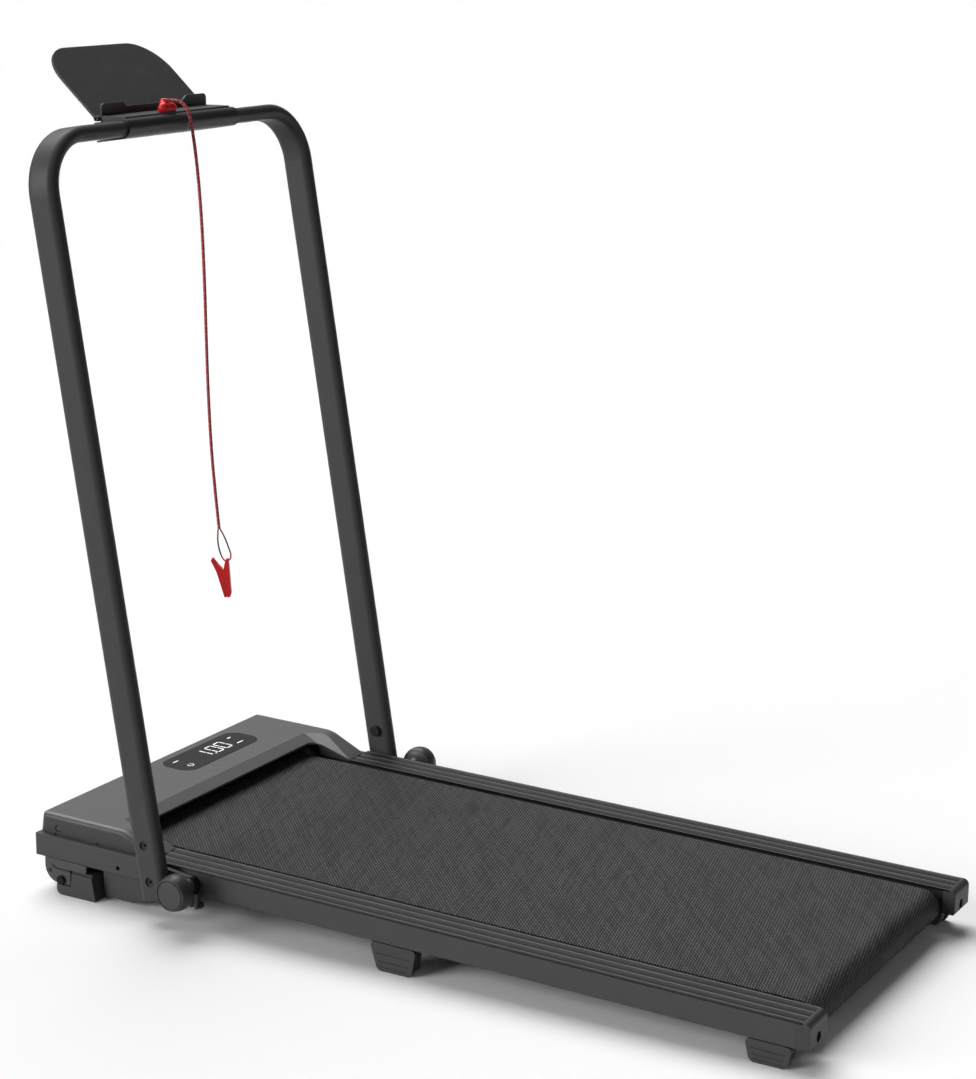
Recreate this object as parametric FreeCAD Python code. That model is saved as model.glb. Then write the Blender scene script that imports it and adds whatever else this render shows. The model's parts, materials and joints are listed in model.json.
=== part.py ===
import FreeCAD
import Part
import math
import os

V = FreeCAD.Vector
ACROSS = V(0, 1, 0)

# Walking pad with a folding handrail. Lengths in mm, angles in degrees.
# Deck coordinates: x from the front end of the side tubes to the rear, y to the user's right, z up,
# with the deck level. The whole deck is tipped to its incline when the pieces are placed.

# Frame
FRAME_LENGTH = 1097.0
FRAME_WIDTH = 500.0
INCLINE = 0.98
REAR_HEIGHT = 28.0
TUBE_WIDTH = 40.0
TUBE_HEIGHT = 30.0
TUBE_WALL = 2.0
SIDE_HOLE_X = 135.0
SIDE_HOLE_DIA = 5.5
CAP_LENGTH = 17.0
CAP_ROUND = 8.0
CAP_PLUG = 12.0
CROSS_DEPTH = 40.0
CROSS_HEIGHT = 16.0
CROSS_FIRST = 230.0
CROSS_REAR = 117.0
CROSS_COUNT = 3

# Tread strips on the side tubes
TREAD_WIDTH = 48.0
TREAD_THICK = 3.0
TREAD_START = 193.0
TREAD_PAST_TUBE = 8.0
FLUTES = 3
FLUTE_DEPTH = 1.1
RIDGE_WIDTH = 1.4
LIP_WIDTH = 4.0
LIP_OVERHANG = 0.8
SEAM = 1.0

# Belt, rollers and running board
BELT_GAP = 9.0
BELT_THICK = 1.5
BELT_DROP = 1.6
ROLLER_DIA = 42.0
ROLLER_WALL = 3.0
ROLLER_HUB = 12.0
ROLLER_SPARE = 2.0
FRONT_ROLLER_X = 105.0
REAR_ROLLER_INSET = 40.0
AXLE_DIA = 12.0
BEARING_DIA = 28.0
BEARING_WIDTH = 8.0
BOARD_THICK = 14.0
BOARD_END_GAP = 6.0
CUSHION_DIA = 24.0
CUSHION_HEIGHT = 4.0
CUSHION_Y = 120.0
ADJUSTER_DIA = 8.0
ADJUSTER_HEAD_DIA = 11.0
ADJUSTER_HOLE_DIA = 12.5
ADJUSTER_INSET = 26.0

# Drive under the cover
MOTOR_X = 44.0
MOTOR_Z = 32.0
MOTOR_DIA = 58.0
MOTOR_LENGTH = 150.0
MOTOR_BOSS = 6.0
MOTOR_GAP = 19.0
MOTOR_SHAFT_DIA = 8.0
MOTOR_PULLEY_DIA = 24.0
ROLLER_PULLEY_DIA = 58.0
PULLEY_WIDTH = 10.0
DRIVE_BELT_THICK = 2.5
SADDLE_WIDTH = 44.0
SADDLE_THICK = 8.0
PCB_FRONT = 28.0
PCB_REAR = 74.0
PCB_SIDE = 25.0
PCB_MOTOR_GAP = 60.0
PCB_HEIGHT = 8.0
PCB_SHEET = 1.6
PCB_POST_DIA = 6.0
SINK_WIDTH = 24.0
SINK_HEIGHT = 28.0
SINK_FOOT = 6.0
FINS = 4
CAN_DIA = 16.0
CAN_HEIGHT = 30.0

# Motor cover
COVER_FRONT = 0.6
COVER_RAKE = 4.0
COVER_HEIGHT = 27.5
COVER_REAR = 131.0
COVER_LIP_DROP = 6.8
COVER_LIP_RUN = 19.0
COVER_SIDE = 8.0
COVER_ROUND = 7.0
COVER_WALL = 2.5
COVER_FRONT_ROUND = 4.5
CORNER_ROUND = 17.0
ARM_START = 138.0
ARM_ROUND = 46.0
SCREW_X = 31.0
SCREW_UP = 8.5
SCREW_HEAD_DIA = 7.2
SCREW_HOLE_DIA = 9.0
TAB_HALF = 7.0
COVER_NOTCHES = (27.0, 96.0)
NOTCH_DIA = 4.0
PANEL_LENGTH = 171.0
PANEL_WIDTH = 57.0
PANEL_ROUND = 21.0
PANEL_X = 48.0
PANEL_INSET = 87.5
PANEL_SUNK = 1.5
PANEL_PROUD = 0.3

# Belly pan
PAN_BOTTOM = -12.0
PAN_SHEET = 2.0
PAN_FRONT = 6.0
PAN_INSET = 12.0
PAN_NARROW_INSET = 28.0
PAN_STEP_X = 102.0
PAN_FLAT_END = 150.0
PAN_SKIRT_END = 285.0
INLET_SIDE = 60.0
INLET_Z = 22.0
INLET_WIDTH = 26.0
INLET_HEIGHT = 19.0
INLET_DEPTH = 18.0
SWITCH_PITCH = 45.0
SWITCH_WIDTH = 14.0
SWITCH_HEIGHT = 20.0
SWITCH_DEPTH = 14.0
SWITCH_WALL = 1.5
SWITCH_THROW = 14.0
INLET_WALL = 2.0
BEZEL = 4.0

# Front brackets, wheels and feet
BRACKET_SHEET = 3.0
BRACKET_FRONT = 16.0
BRACKET_TAB_END = 84.0
BRACKET_TAB_DROP = 10.5
BRACKET_CHEEK_END = 57.5
BRACKET_LOW = -4.0
BRACKET_ROUND = 22.0
BRACKET_SPAN = 26.0
BRACKET_PROUD = 1.5
WHEEL_X = 43.0
WHEEL_Z = 2.0
WHEEL_DIA = 32.0
WHEEL_WIDTH = 15.0
WHEEL_AXLE_DIA = 8.0
WHEEL_HEAD_DIA = 11.5
FRONT_FOOT_X = 60.0
FRONT_FOOT_TOP = 94.0
FRONT_FOOT_END = 100.5
FRONT_FOOT_NOSE = 36.5
FRONT_FOOT_ROUND = 8.0
FRONT_FOOT_PROUD = 4.0
FRONT_FOOT_REBATE = 2.6
FRONT_FOOT_SLIT = 14.0
FOOT_WIDTH = 23.0
FOOT_FACE = 7.0
FOOT_EDGE = 3.0
FOOT_GAP = 1.6
FOOT_ROUND = 9.0
FOOT_TOP_ROUND = 5.0
GROOVE_SHARES = (0.13, 0.33, 0.60)
GROOVE_INSET = 6.5
GROOVE_DEPTH = 1.4
GROOVE_HEIGHT = 1.4
MID_FOOT_SHARE = 0.504
MID_FOOT_SPAN = (-33.0, 33.0, -21.5, 27.0)
REAR_FOOT_SPAN = (-78.5, -19.5, -72.0, -25.5)

# Handrail. Rail coordinates: origin on the fold axis, z along the uprights.
LEAN = 9.8
PIVOT_X = 256.0
ARM = 47.2
BOLT_PITCH = 48.0
RAIL_BELOW_BOLT = 24.0
RAIL_HEIGHT = 932.8
RAIL_DEPTH = 42.0
RAIL_THICK = 20.0
RAIL_WALL = 2.0
RAIL_BEND = 70.0
SWING_GAP = 2.0
PLATE_THICK = 6.5
BOLT_END_RADIUS = 15.0
PIVOT_END_RADIUS = 11.0
TAIL_LENGTH = 29.0
TAIL_WIDTH = 14.0
STOP_OFFSET = 6.5
STOP_EAR_DIA = 8.0
STOP_TAB = 5.0
STOP_THICK = 4.0
STOP_DROP = 16.0
STOP_LAP = 5.0
TONGUE_ABOVE = 20.0
WEB_WIDTH = 18.0
BUSH_DIA = 16.0
BUSH_FLANGE_DIA = 22.0
BUSH_INSIDE = 20.0
STUD_DIA = 8.0
BOLT_DIA = 8.0
BOLT_HEAD_DIA = 9.6
BOLT_HEAD = 5.0
BOLT_SUNK = 2.2
BOLT_WINDOW_DIA = 13.0
NUT_DIA = 15.0
NUT_THICK = 5.0
KNOB_DIA = 47.0
KNOB_FACE_DIA = 41.0
KNOB_GROOVE = 1.4
KNOB_NECK_DIA = 18.0
KNOB_LENGTH = 41.0

# Tablet holder. Level coordinates: origin in the middle of the crossbar, axes level.
SHROUD_HALF = 116.0
SHROUD_WALL = 2.2
SHROUD_FRONT = 32.0
SHROUD_SEAM = 0.8
CLAMP_BAR_THICK = 3.0
LEDGE_HALF = 109.5
LEDGE_REAR = 11.5
LEDGE_FRONT = -28.4
LEDGE_THICK = 2.0
LIP_THICK = 2.5
LIP_HEIGHT = 9.0
PRONG_HEIGHT = 15.0
PRONG_IN = 67.0
HINGE_BACK = 30.0
HINGE_UP = 17.2
HINGE_DIA = 7.0
PIN_DIA = 3.5
LUG_IN = 84.0
LUG_OUT = 98.0
TABLET_TILT = 48.0
TABLET_HALF = 114.0
TABLET_HEIGHT = 122.5
TABLET_THICK = 3.5
TABLET_ROUND = 52.0

# Safety key, lanyard and clip
KEY_LENGTH = 31.0
KEY_DIA = 14.0
KEY_X = 5.0
KEY_Y = -15.0
KEY_BOSS_DIA = 6.4
KEY_BOSS_LENGTH = 6.0
CORD_DIA = 4.4
LOOP_DIA = 2.2
CLIP_TURN = 30.5
CLIP_WIDTH = 9.0
CLIP_PIN_DIA = 2.6
CLIP_EYE_DIA = 3.8

# Clearances
RUN_FIT = 0.05
SEAT = 0.3
LOOSE = 0.2

# Levels and positions that follow from the sizes above
HALF = FRAME_WIDTH / 2
TUBE_IN = HALF - TUBE_WIDTH
TREAD_IN = HALF - TREAD_WIDTH
BELT_WIDTH = 2 * (TREAD_IN - BELT_GAP)
TUBE_LOW = REAR_HEIGHT
TUBE_TOP = TUBE_LOW + TUBE_HEIGHT
TUBE_END = FRAME_LENGTH - CAP_LENGTH
TREAD_TOP = TUBE_TOP + TREAD_THICK
TREAD_END = TUBE_END + TREAD_PAST_TUBE
BELT_TOP = TREAD_TOP - BELT_DROP
BELT_UNDER = BELT_TOP - BELT_THICK
ROLLER_R = ROLLER_DIA / 2
AXLE_Z = BELT_UNDER - SEAT - ROLLER_R
REAR_ROLLER_X = FRAME_LENGTH - REAR_ROLLER_INSET
ROLLER_HALF = BELT_WIDTH / 2 + ROLLER_SPARE
BOARD_TOP = BELT_UNDER
BOARD_LOW = BOARD_TOP - BOARD_THICK
CROSS_TOP = BOARD_LOW - CUSHION_HEIGHT
CROSS_PITCH = (FRAME_LENGTH - CROSS_REAR - CROSS_FIRST) / (CROSS_COUNT - 1)
CROSS_X = [CROSS_FIRST + i * CROSS_PITCH for i in range(CROSS_COUNT)]
ADJUSTER_Y = HALF - ADJUSTER_INSET
PULLEY_Y = ROLLER_HALF
MOTOR_START = PULLEY_Y - MOTOR_GAP - MOTOR_BOSS - MOTOR_LENGTH
PCB_LEFT = -TUBE_IN + PCB_SIDE
PCB_RIGHT = MOTOR_START - PCB_MOTOR_GAP
COVER_TOP = TUBE_TOP + COVER_HEIGHT
COVER_HALF = HALF - COVER_SIDE
PANEL_Y = COVER_HALF - PANEL_INSET - PANEL_LENGTH / 2
PAN_HALF = HALF - PAN_INSET
PAN_NARROW = HALF - PAN_NARROW_INSET
INLET_Y = -TUBE_IN + INLET_SIDE
SWITCH_Y = INLET_Y + SWITCH_PITCH
SWITCH_PIVOT_X = PAN_FRONT + SWITCH_DEPTH * 2 / 7
MID_FOOT = [MID_FOOT_SHARE * FRAME_LENGTH + step for step in MID_FOOT_SPAN]
REAR_FOOT = [FRAME_LENGTH + step for step in REAR_FOOT_SPAN]
PIVOT_Z = TUBE_LOW + TUBE_HEIGHT / 2
PLATE_IN = HALF + SWING_GAP
PLATE_OUT = PLATE_IN + PLATE_THICK
RAIL_Y = PLATE_OUT + RAIL_THICK / 2
RAIL_OUT = PLATE_OUT + RAIL_THICK
BOLT_R = -ARM * math.cos(math.radians(LEAN))
BOLT_U = ARM * math.sin(math.radians(LEAN))
RAIL_LOW = BOLT_U - RAIL_BELOW_BOLT
BAR_U = BOLT_U + RAIL_HEIGHT
SHROUD_IN = RAIL_THICK / 2 + LOOSE
SHROUD_OUT = SHROUD_IN + SHROUD_WALL


def floor_at(x):
    """Height of the floor under the deck, in deck coordinates."""
    return -math.tan(math.radians(INCLINE)) * (FRAME_LENGTH - x)


def block(x0, x1, y0, y1, z0, z1):
    return Part.makeBox(x1 - x0, y1 - y0, z1 - z0, V(x0, y0, z0))


def rod(dia, x, z, y0, y1):
    """Round bar along y."""
    return Part.makeCylinder(dia / 2, y1 - y0, V(x, y0, z), ACROSS)


def ring(outer, inner, x, z, y0, y1):
    return rod(outer, x, z, y0, y1).cut(rod(inner, x, z, y0 - 1, y1 + 1))


def lift(axis, level):
    """Turns outline coordinates into a point on the plane across the given axis."""
    if axis == "x":
        return lambda a, b: V(level, a, b)
    if axis == "y":
        return lambda a, b: V(a, level, b)
    return lambda a, b: V(a, b, level)


def corner_span(before, here, after):
    """Start, middle and end of the rounding at one corner of an outline."""
    a, b, radius = here
    back = V(before[0] - a, before[1] - b, 0).normalize()
    ahead = V(after[0] - a, after[1] - b, 0).normalize()
    if radius == 0:
        return [(a, b)]
    half = back.getAngle(ahead) / 2
    away = radius / math.tan(half)
    middle = (back + ahead).normalize() * (radius / math.sin(half) - radius)
    start = (a + back.x * away, b + back.y * away)
    end = (a + ahead.x * away, b + ahead.y * away)
    return [start, (a + middle.x, b + middle.y), end]


def outline(corners, place):
    """Closed wire through corners (a, b, radius)."""
    count = len(corners)
    spans = [corner_span(corners[i - 1], corners[i], corners[(i + 1) % count]) for i in range(count)]
    edges = []
    for i, span in enumerate(spans):
        if len(span) == 3:
            edges.append(Part.Arc(*[place(*p) for p in span]).toShape())
        here = place(*span[-1])
        there = place(*spans[(i + 1) % count][0])
        if here.distanceToPoint(there) > 1e-6:
            edges.append(Part.LineSegment(here, there).toShape())
    return Part.Wire(edges)


def prism(corners, axis, low, high):
    """Outline extruded along an axis. Corners are (y, z), (x, z) or (x, y) for axis x, y or z."""
    reach = {"x": V(high - low, 0, 0), "y": V(0, high - low, 0), "z": V(0, 0, high - low)}[axis]
    return Part.Face(outline(corners, lift(axis, low))).extrude(reach)


def sharp(*points):
    return [(a, b, 0) for a, b in points]


def mirrored(shape):
    return shape.mirror(V(0, 0, 0), ACROSS)


def both(shape):
    return Part.makeCompound([mirrored(shape), shape])


def pair(name, shape):
    return {name + "_left": mirrored(shape), name + "_right": shape}


def oval(depth, thick, place):
    """Flat oval outline, its flats along the first coordinate."""
    straight = depth / 2 - thick / 2
    r = thick / 2
    near = Part.Arc(place(-straight, -r), place(-straight - r, 0), place(-straight, r)).toShape()
    far = Part.Arc(place(straight, r), place(straight + r, 0), place(straight, -r)).toShape()
    top = Part.LineSegment(place(-straight, r), place(straight, r)).toShape()
    low = Part.LineSegment(place(straight, -r), place(-straight, -r)).toShape()
    return Part.Wire([near, top, far, low])


def loop_form(x0, r0, z0, x1, r1, z1, y0, y1):
    """Solid inside a belt line round two circles, lying along y."""
    run = V(x1 - x0, 0, z1 - z0)
    along = V(run).normalize()
    side = V(-along.z, 0, along.x)
    lean = (r0 - r1) / run.Length
    flat = math.sqrt(1 - lean * lean)
    a = V(x0, y0, z0)
    b = V(x1, y0, z1)
    upper = along * lean + side * flat
    lower = along * lean - side * flat
    front = Part.Arc(a + lower * r0, a - along * r0, a + upper * r0).toShape()
    rear = Part.Arc(b + upper * r1, b + along * r1, b + lower * r1).toShape()
    top = Part.LineSegment(a + upper * r0, b + upper * r1).toShape()
    low = Part.LineSegment(b + lower * r1, a + lower * r0).toShape()
    return Part.Face(Part.Wire([front, top, rear, low])).extrude(ACROSS * (y1 - y0))


# Deck frame

def side_tube():
    tube = block(0, TUBE_END, TUBE_IN, HALF, TUBE_LOW, TUBE_TOP)
    w = TUBE_WALL
    tube = tube.cut(block(-1, TUBE_END + 1, TUBE_IN + w, HALF - w, TUBE_LOW + w, TUBE_TOP - w))
    inside = TUBE_IN + w
    cuts = [rod(SIDE_HOLE_DIA, SIDE_HOLE_X, AXLE_Z, HALF - w - 1, HALF + 1)]
    cuts.append(rod(BUSH_DIA + 2 * RUN_FIT, PIVOT_X, PIVOT_Z, HALF - w - 1, HALF + 1))
    cuts.append(rod(AXLE_DIA + 2 * RUN_FIT, FRONT_ROLLER_X, AXLE_Z, TUBE_IN - 1, inside + 1))
    slot = [rod(AXLE_DIA + LOOSE, REAR_ROLLER_X + s, AXLE_Z, TUBE_IN - 1, inside + 1) for s in (-8, 4)]
    reach = (AXLE_DIA + LOOSE) / 2
    between = block(REAR_ROLLER_X - 8, REAR_ROLLER_X + 4, TUBE_IN - 1, inside + 1,
                    AXLE_Z - reach, AXLE_Z + reach)
    tab_out = COVER_HALF - COVER_WALL
    tab = block(SCREW_X - TAB_HALF, SCREW_X + TAB_HALF, tab_out - 3, tab_out,
                TUBE_TOP - w, TUBE_TOP + 2 * SCREW_UP)
    return tube.cut(cuts + slot + [between]).fuse(tab).removeSplitter()


def tread_profile():
    """Cross-section of a tread strip: flutes between ridges, then the rounded lip over a seam."""
    top = TREAD_TOP
    lip_start = HALF - LIP_WIDTH
    pitch = (lip_start - TREAD_IN) / FLUTES
    place = lift("x", TREAD_START)
    points = [place(TREAD_IN, TUBE_TOP), place(TREAD_IN, top)]
    edges = [Part.LineSegment(*points).toShape()]
    last = points[-1]
    for i in range(FLUTES):
        start = place(TREAD_IN + i * pitch + RIDGE_WIDTH, top)
        end = place(TREAD_IN + (i + 1) * pitch, top)
        dip = place(TREAD_IN + (i + 0.5) * pitch + RIDGE_WIDTH / 2, top - FLUTE_DEPTH)
        edges.append(Part.LineSegment(last, start).toShape())
        edges.append(Part.Arc(start, dip, end).toShape())
        last = end
    out = HALF + LIP_OVERHANG
    drop = TREAD_THICK - SEAM
    crown = place(out - drop, top)
    edges.append(Part.LineSegment(last, crown).toShape())
    bulge = place(out - drop * (1 - math.sqrt(0.5)), top - drop * (1 - math.sqrt(0.5)))
    edges.append(Part.Arc(crown, bulge, place(out, top - drop)).toShape())
    turns = [place(out, top - drop), place(lip_start, top - drop), place(lip_start, TUBE_TOP), points[0]]
    edges += [Part.LineSegment(turns[i], turns[i + 1]).toShape() for i in range(3)]
    return Part.Face(Part.Wire(edges))


def tread():
    return tread_profile().extrude(V(TREAD_END - TREAD_START, 0, 0))


def rear_cap():
    low = TUBE_LOW
    side = [(TUBE_END, low, 0), (FRAME_LENGTH, low, 3), (FRAME_LENGTH, TREAD_TOP, CAP_ROUND),
            (TREAD_END, TREAD_TOP, 0), (TREAD_END, TUBE_TOP, 0), (TUBE_END, TUBE_TOP, 0)]
    cap = prism(side, "y", TREAD_IN, HALF)
    w = TUBE_WALL + LOOSE
    plug = block(TUBE_END - CAP_PLUG, TUBE_END, TUBE_IN + w, HALF - w, low + w, TUBE_TOP - w)
    hole = Part.makeCylinder(ADJUSTER_HOLE_DIA / 2, 4 * CAP_LENGTH,
                             V(TUBE_END - 2 * CAP_PLUG, ADJUSTER_Y, AXLE_Z), V(1, 0, 0))
    return cap.fuse(plug).cut(hole).removeSplitter()


def cross_tubes():
    tubes = []
    w = TUBE_WALL
    for x in CROSS_X:
        a = x - CROSS_DEPTH / 2
        b = x + CROSS_DEPTH / 2
        low = CROSS_TOP - CROSS_HEIGHT
        tube = block(a, b, -TUBE_IN, TUBE_IN, low, CROSS_TOP)
        tubes.append(tube.cut(block(a + w, b - w, -TUBE_IN - 1, TUBE_IN + 1, low + w, CROSS_TOP - w)))
    return Part.makeCompound(tubes)


def running_board():
    front = FRONT_ROLLER_X + ROLLER_R + BOARD_END_GAP
    rear = REAR_ROLLER_X - ROLLER_R - BOARD_END_GAP
    top = BOARD_TOP - SEAT
    side = [(front, BOARD_LOW, 0), (rear, BOARD_LOW, 0), (rear, top, 5), (front, top, 5)]
    half = ROLLER_HALF - LOOSE
    return prism(side, "y", -half, half)


def board_cushions():
    pads = []
    for x in CROSS_X:
        for y in (-CUSHION_Y, CUSHION_Y):
            pads.append(Part.makeCylinder(CUSHION_DIA / 2, CUSHION_HEIGHT, V(x, y, CROSS_TOP)))
    return Part.makeCompound(pads)


# Belt and rollers

def walking_belt():
    half = BELT_WIDTH / 2
    inner = ROLLER_R + SEAT
    outer = inner + BELT_THICK
    ends = (FRONT_ROLLER_X, AXLE_Z, REAR_ROLLER_X, AXLE_Z)
    whole = loop_form(ends[0], outer, ends[1], ends[2], outer, ends[3], -half, half)
    return whole.cut(loop_form(ends[0], inner, ends[1], ends[2], inner, ends[3], -half - 1, half + 1))


def roller(x):
    half = ROLLER_HALF
    drum = rod(ROLLER_DIA, x, AXLE_Z, -half, half)
    hollow = rod(ROLLER_DIA - 2 * ROLLER_WALL, x, AXLE_Z, -half + ROLLER_HUB, half - ROLLER_HUB)
    through = rod(AXLE_DIA + 4, x, AXLE_Z, -half - 1, half + 1)
    seat = rod(BEARING_DIA, x, AXLE_Z, half - BEARING_WIDTH, half + 1)
    return drum.cut([hollow, through, seat, mirrored(seat)])


def bearings(x):
    inner_face = ROLLER_HALF - BEARING_WIDTH
    one = ring(BEARING_DIA - 2 * RUN_FIT, AXLE_DIA + 2 * RUN_FIT, x, AXLE_Z, inner_face, ROLLER_HALF)
    return both(one)


def front_axle():
    return rod(AXLE_DIA, FRONT_ROLLER_X, AXLE_Z, -HALF + TUBE_WALL, HALF - TUBE_WALL)


def rear_axle():
    end = ADJUSTER_Y + AXLE_DIA
    bar = rod(AXLE_DIA, REAR_ROLLER_X, AXLE_Z, -end, end)
    hole = Part.makeCylinder(ADJUSTER_DIA / 2 + RUN_FIT, 4 * AXLE_DIA,
                             V(REAR_ROLLER_X - 2 * AXLE_DIA, ADJUSTER_Y, AXLE_Z), V(1, 0, 0))
    return bar.cut([hole, mirrored(hole)])


def adjuster_bolts():
    start = V(REAR_ROLLER_X - AXLE_DIA, ADJUSTER_Y, AXLE_Z)
    head_x = TUBE_END + CAP_LENGTH / 3
    shank = Part.makeCylinder(ADJUSTER_DIA / 2, head_x - start.x, start, V(1, 0, 0))
    seat = V(head_x, ADJUSTER_Y, AXLE_Z)
    head = Part.makeCylinder(ADJUSTER_HEAD_DIA / 2, CAP_LENGTH / 3, seat, V(1, 0, 0))
    return both(shank.fuse(head).removeSplitter())


# Drive

def pulley(dia, bore, x, z):
    """Ribbed pulley beside the front roller."""
    wheel = ring(dia, bore, x, z, PULLEY_Y, PULLEY_Y + PULLEY_WIDTH)
    pitch = PULLEY_WIDTH / 4
    grooves = []
    for i in range(3):
        y = PULLEY_Y + (i + 1) * pitch
        v = sharp((dia / 2 - 1.2, y), (dia / 2 + 0.2, y - 0.8), (dia / 2 + 0.2, y + 0.8))
        face = Part.Face(outline(v, lambda r, t: V(x + r, t, z)))
        grooves.append(face.revolve(V(x, 0, z), ACROSS, 360))
    return wheel.cut(grooves)


def motor():
    can = rod(MOTOR_DIA, MOTOR_X, MOTOR_Z, MOTOR_START, MOTOR_START + MOTOR_LENGTH)
    end = MOTOR_START + MOTOR_LENGTH
    boss = rod(MOTOR_DIA / 2, MOTOR_X, MOTOR_Z, end, end + MOTOR_BOSS)
    bore = rod(MOTOR_SHAFT_DIA + 2 * RUN_FIT, MOTOR_X, MOTOR_Z, MOTOR_START + 2 * MOTOR_BOSS, PULLEY_Y)
    return can.fuse(boss).cut(bore)


def motor_shaft():
    start = MOTOR_START + 2 * MOTOR_BOSS + LOOSE
    return rod(MOTOR_SHAFT_DIA, MOTOR_X, MOTOR_Z, start, PULLEY_Y + PULLEY_WIDTH)


def motor_saddle():
    cradles = []
    floor = PAN_BOTTOM + PAN_SHEET
    for share in (0.2, 0.8):
        y = MOTOR_START + share * MOTOR_LENGTH - SADDLE_THICK / 2
        half = SADDLE_WIDTH / 2
        cradle = block(MOTOR_X - half, MOTOR_X + half, y, y + SADDLE_THICK, floor, MOTOR_Z - 6)
        seat = rod(MOTOR_DIA + 2 * RUN_FIT, MOTOR_X, MOTOR_Z, y - 1, y + SADDLE_THICK + 1)
        cradles.append(cradle.cut(seat))
    return Part.makeCompound(cradles)


def drive_belt():
    y0 = PULLEY_Y + 0.5
    y1 = PULLEY_Y + PULLEY_WIDTH - 0.5
    r0 = MOTOR_PULLEY_DIA / 2 + SEAT
    r1 = ROLLER_PULLEY_DIA / 2 + SEAT
    t = DRIVE_BELT_THICK
    outer = loop_form(MOTOR_X, r0 + t, MOTOR_Z, FRONT_ROLLER_X, r1 + t, AXLE_Z, y0, y1)
    return outer.cut(loop_form(MOTOR_X, r0, MOTOR_Z, FRONT_ROLLER_X, r1, AXLE_Z, y0 - 1, y1 + 1))


def control_board():
    """Circuit board on posts with a finned heat sink and two round cans."""
    floor = PAN_BOTTOM + PAN_SHEET
    low = floor + PCB_HEIGHT
    top = low + PCB_SHEET
    long = PCB_RIGHT - PCB_LEFT
    x0 = PCB_FRONT
    edge = PCB_POST_DIA
    pieces = [block(x0, PCB_REAR, PCB_LEFT, PCB_RIGHT, low, top)]
    for x in (x0 + edge, PCB_REAR - edge):
        for y in (PCB_LEFT + edge, PCB_RIGHT - edge):
            pieces.append(Part.makeCylinder(PCB_POST_DIA / 2, PCB_HEIGHT, V(x, y, floor)))
    sink_y = (PCB_LEFT + 0.1 * long, PCB_LEFT + 0.6 * long)
    sink_x = x0 + edge
    sink = block(sink_x, sink_x + SINK_WIDTH, sink_y[0], sink_y[1], low, top + SINK_HEIGHT)
    step = SINK_WIDTH / (2 * FINS + 1)
    slots = []
    for i in range(FINS):
        a = sink_x + (2 * i + 1) * step
        slots.append(block(a, a + step, PCB_LEFT, PCB_RIGHT, top + SINK_FOOT, top + 2 * SINK_HEIGHT))
    pieces.append(sink.cut(slots))
    for share in (0.74, 0.88):
        at = V(x0 + CAN_DIA, PCB_LEFT + share * long, low)
        pieces.append(Part.makeCylinder(CAN_DIA / 2, CAN_HEIGHT, at))
    return pieces[0].fuse(pieces[1:]).removeSplitter()


# Cover

def raised(points, height):
    """Solid standing on a flat sloping polygon."""
    return Part.Face(Part.makePolygon(points + points[:1])).extrude(V(0, 0, height))


def cover_form(inset):
    """Cover volume, or the hollow inside it when inset by the wall."""
    top = COVER_TOP - inset
    half = COVER_HALF - inset
    front = COVER_FRONT + inset
    deep = TUBE_LOW
    rake = COVER_RAKE * (TUBE_TOP - deep) / COVER_HEIGHT
    side = [(front - rake, deep, 0), (front + COVER_RAKE, top, COVER_FRONT_ROUND),
            (ARM_START - inset / 2, top, ARM_ROUND),
            (TREAD_START - inset * 2, TREAD_TOP - inset, 0), (TREAD_START - inset * 2, deep, 0)]
    form = prism(side, "y", -half, half)
    rim = [e for e in form.Edges if abs(abs(e.CenterOfMass.y) - half) < 0.01]
    rim = [e for e in rim if e.CenterOfMass.z > TUBE_TOP - 6]
    rim = [e for e in rim if e.CenterOfMass.x < TREAD_START - inset * 2 - 0.5]
    form = form.makeFillet(COVER_ROUND - inset / 2, rim)
    notch_y = TREAD_IN + inset
    low = TUBE_TOP - inset
    form = form.cut(block(-50, TREAD_START + 50, -HALF, HALF, deep - 1, low))
    past = COVER_LIP_RUN
    tall = HALF
    lip_start = COVER_REAR - COVER_LIP_RUN
    fall = COVER_LIP_DROP / COVER_LIP_RUN
    ends = (lip_start - past, COVER_REAR + past)
    heights = [COVER_TOP - inset * 1.06 - fall * (x - lip_start) for x in ends]
    lip = raised([V(ends[0], -HALF, heights[0]), V(ends[1], -HALF, heights[1]),
                  V(ends[1], HALF, heights[1]), V(ends[0], HALF, heights[0])], tall)
    edge = COVER_TOP - COVER_LIP_DROP
    along = (TREAD_TOP - edge) / (TREAD_START - COVER_REAR)
    across = (COVER_LIP_DROP + along * (COVER_REAR - ARM_START)) / COVER_LIP_RUN

    def arm_height(x, y):
        return edge - inset * 1.1 + along * (x - COVER_REAR) + across * (y - TREAD_IN)

    inner = TREAD_IN - past
    end = TREAD_START + past
    spots = [(lip_start - past, inner), (end, inner), (end, HALF), (lip_start - past, HALF)]
    arm = raised([V(x, y, arm_height(x, y)) for x, y in spots], tall)
    arms = arm.fuse(mirrored(arm))
    middle = lip.common(block(0, COVER_REAR + inset / 2, -TREAD_IN, TREAD_IN, 0, tall))
    rear = arms.common(both(block(COVER_REAR, end, TREAD_IN, HALF, 0, tall)))
    bend = CORNER_ROUND + inset
    notch = prism([(COVER_REAR + inset, -notch_y, bend), (end, -notch_y, 0), (end, notch_y, 0),
                   (COVER_REAR + inset, notch_y, bend)], "z", 0, tall)
    return form.cut([middle, rear, lip.common(arms), notch])


def panel_outline(grow):
    a = PANEL_WIDTH / 2 + grow
    b = PANEL_LENGTH / 2 + grow
    r = PANEL_ROUND + grow
    return [(PANEL_X - a, PANEL_Y - b, r), (PANEL_X + a, PANEL_Y - b, r), (PANEL_X + a, PANEL_Y + b, r),
            (PANEL_X - a, PANEL_Y + b, r)]


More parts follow.
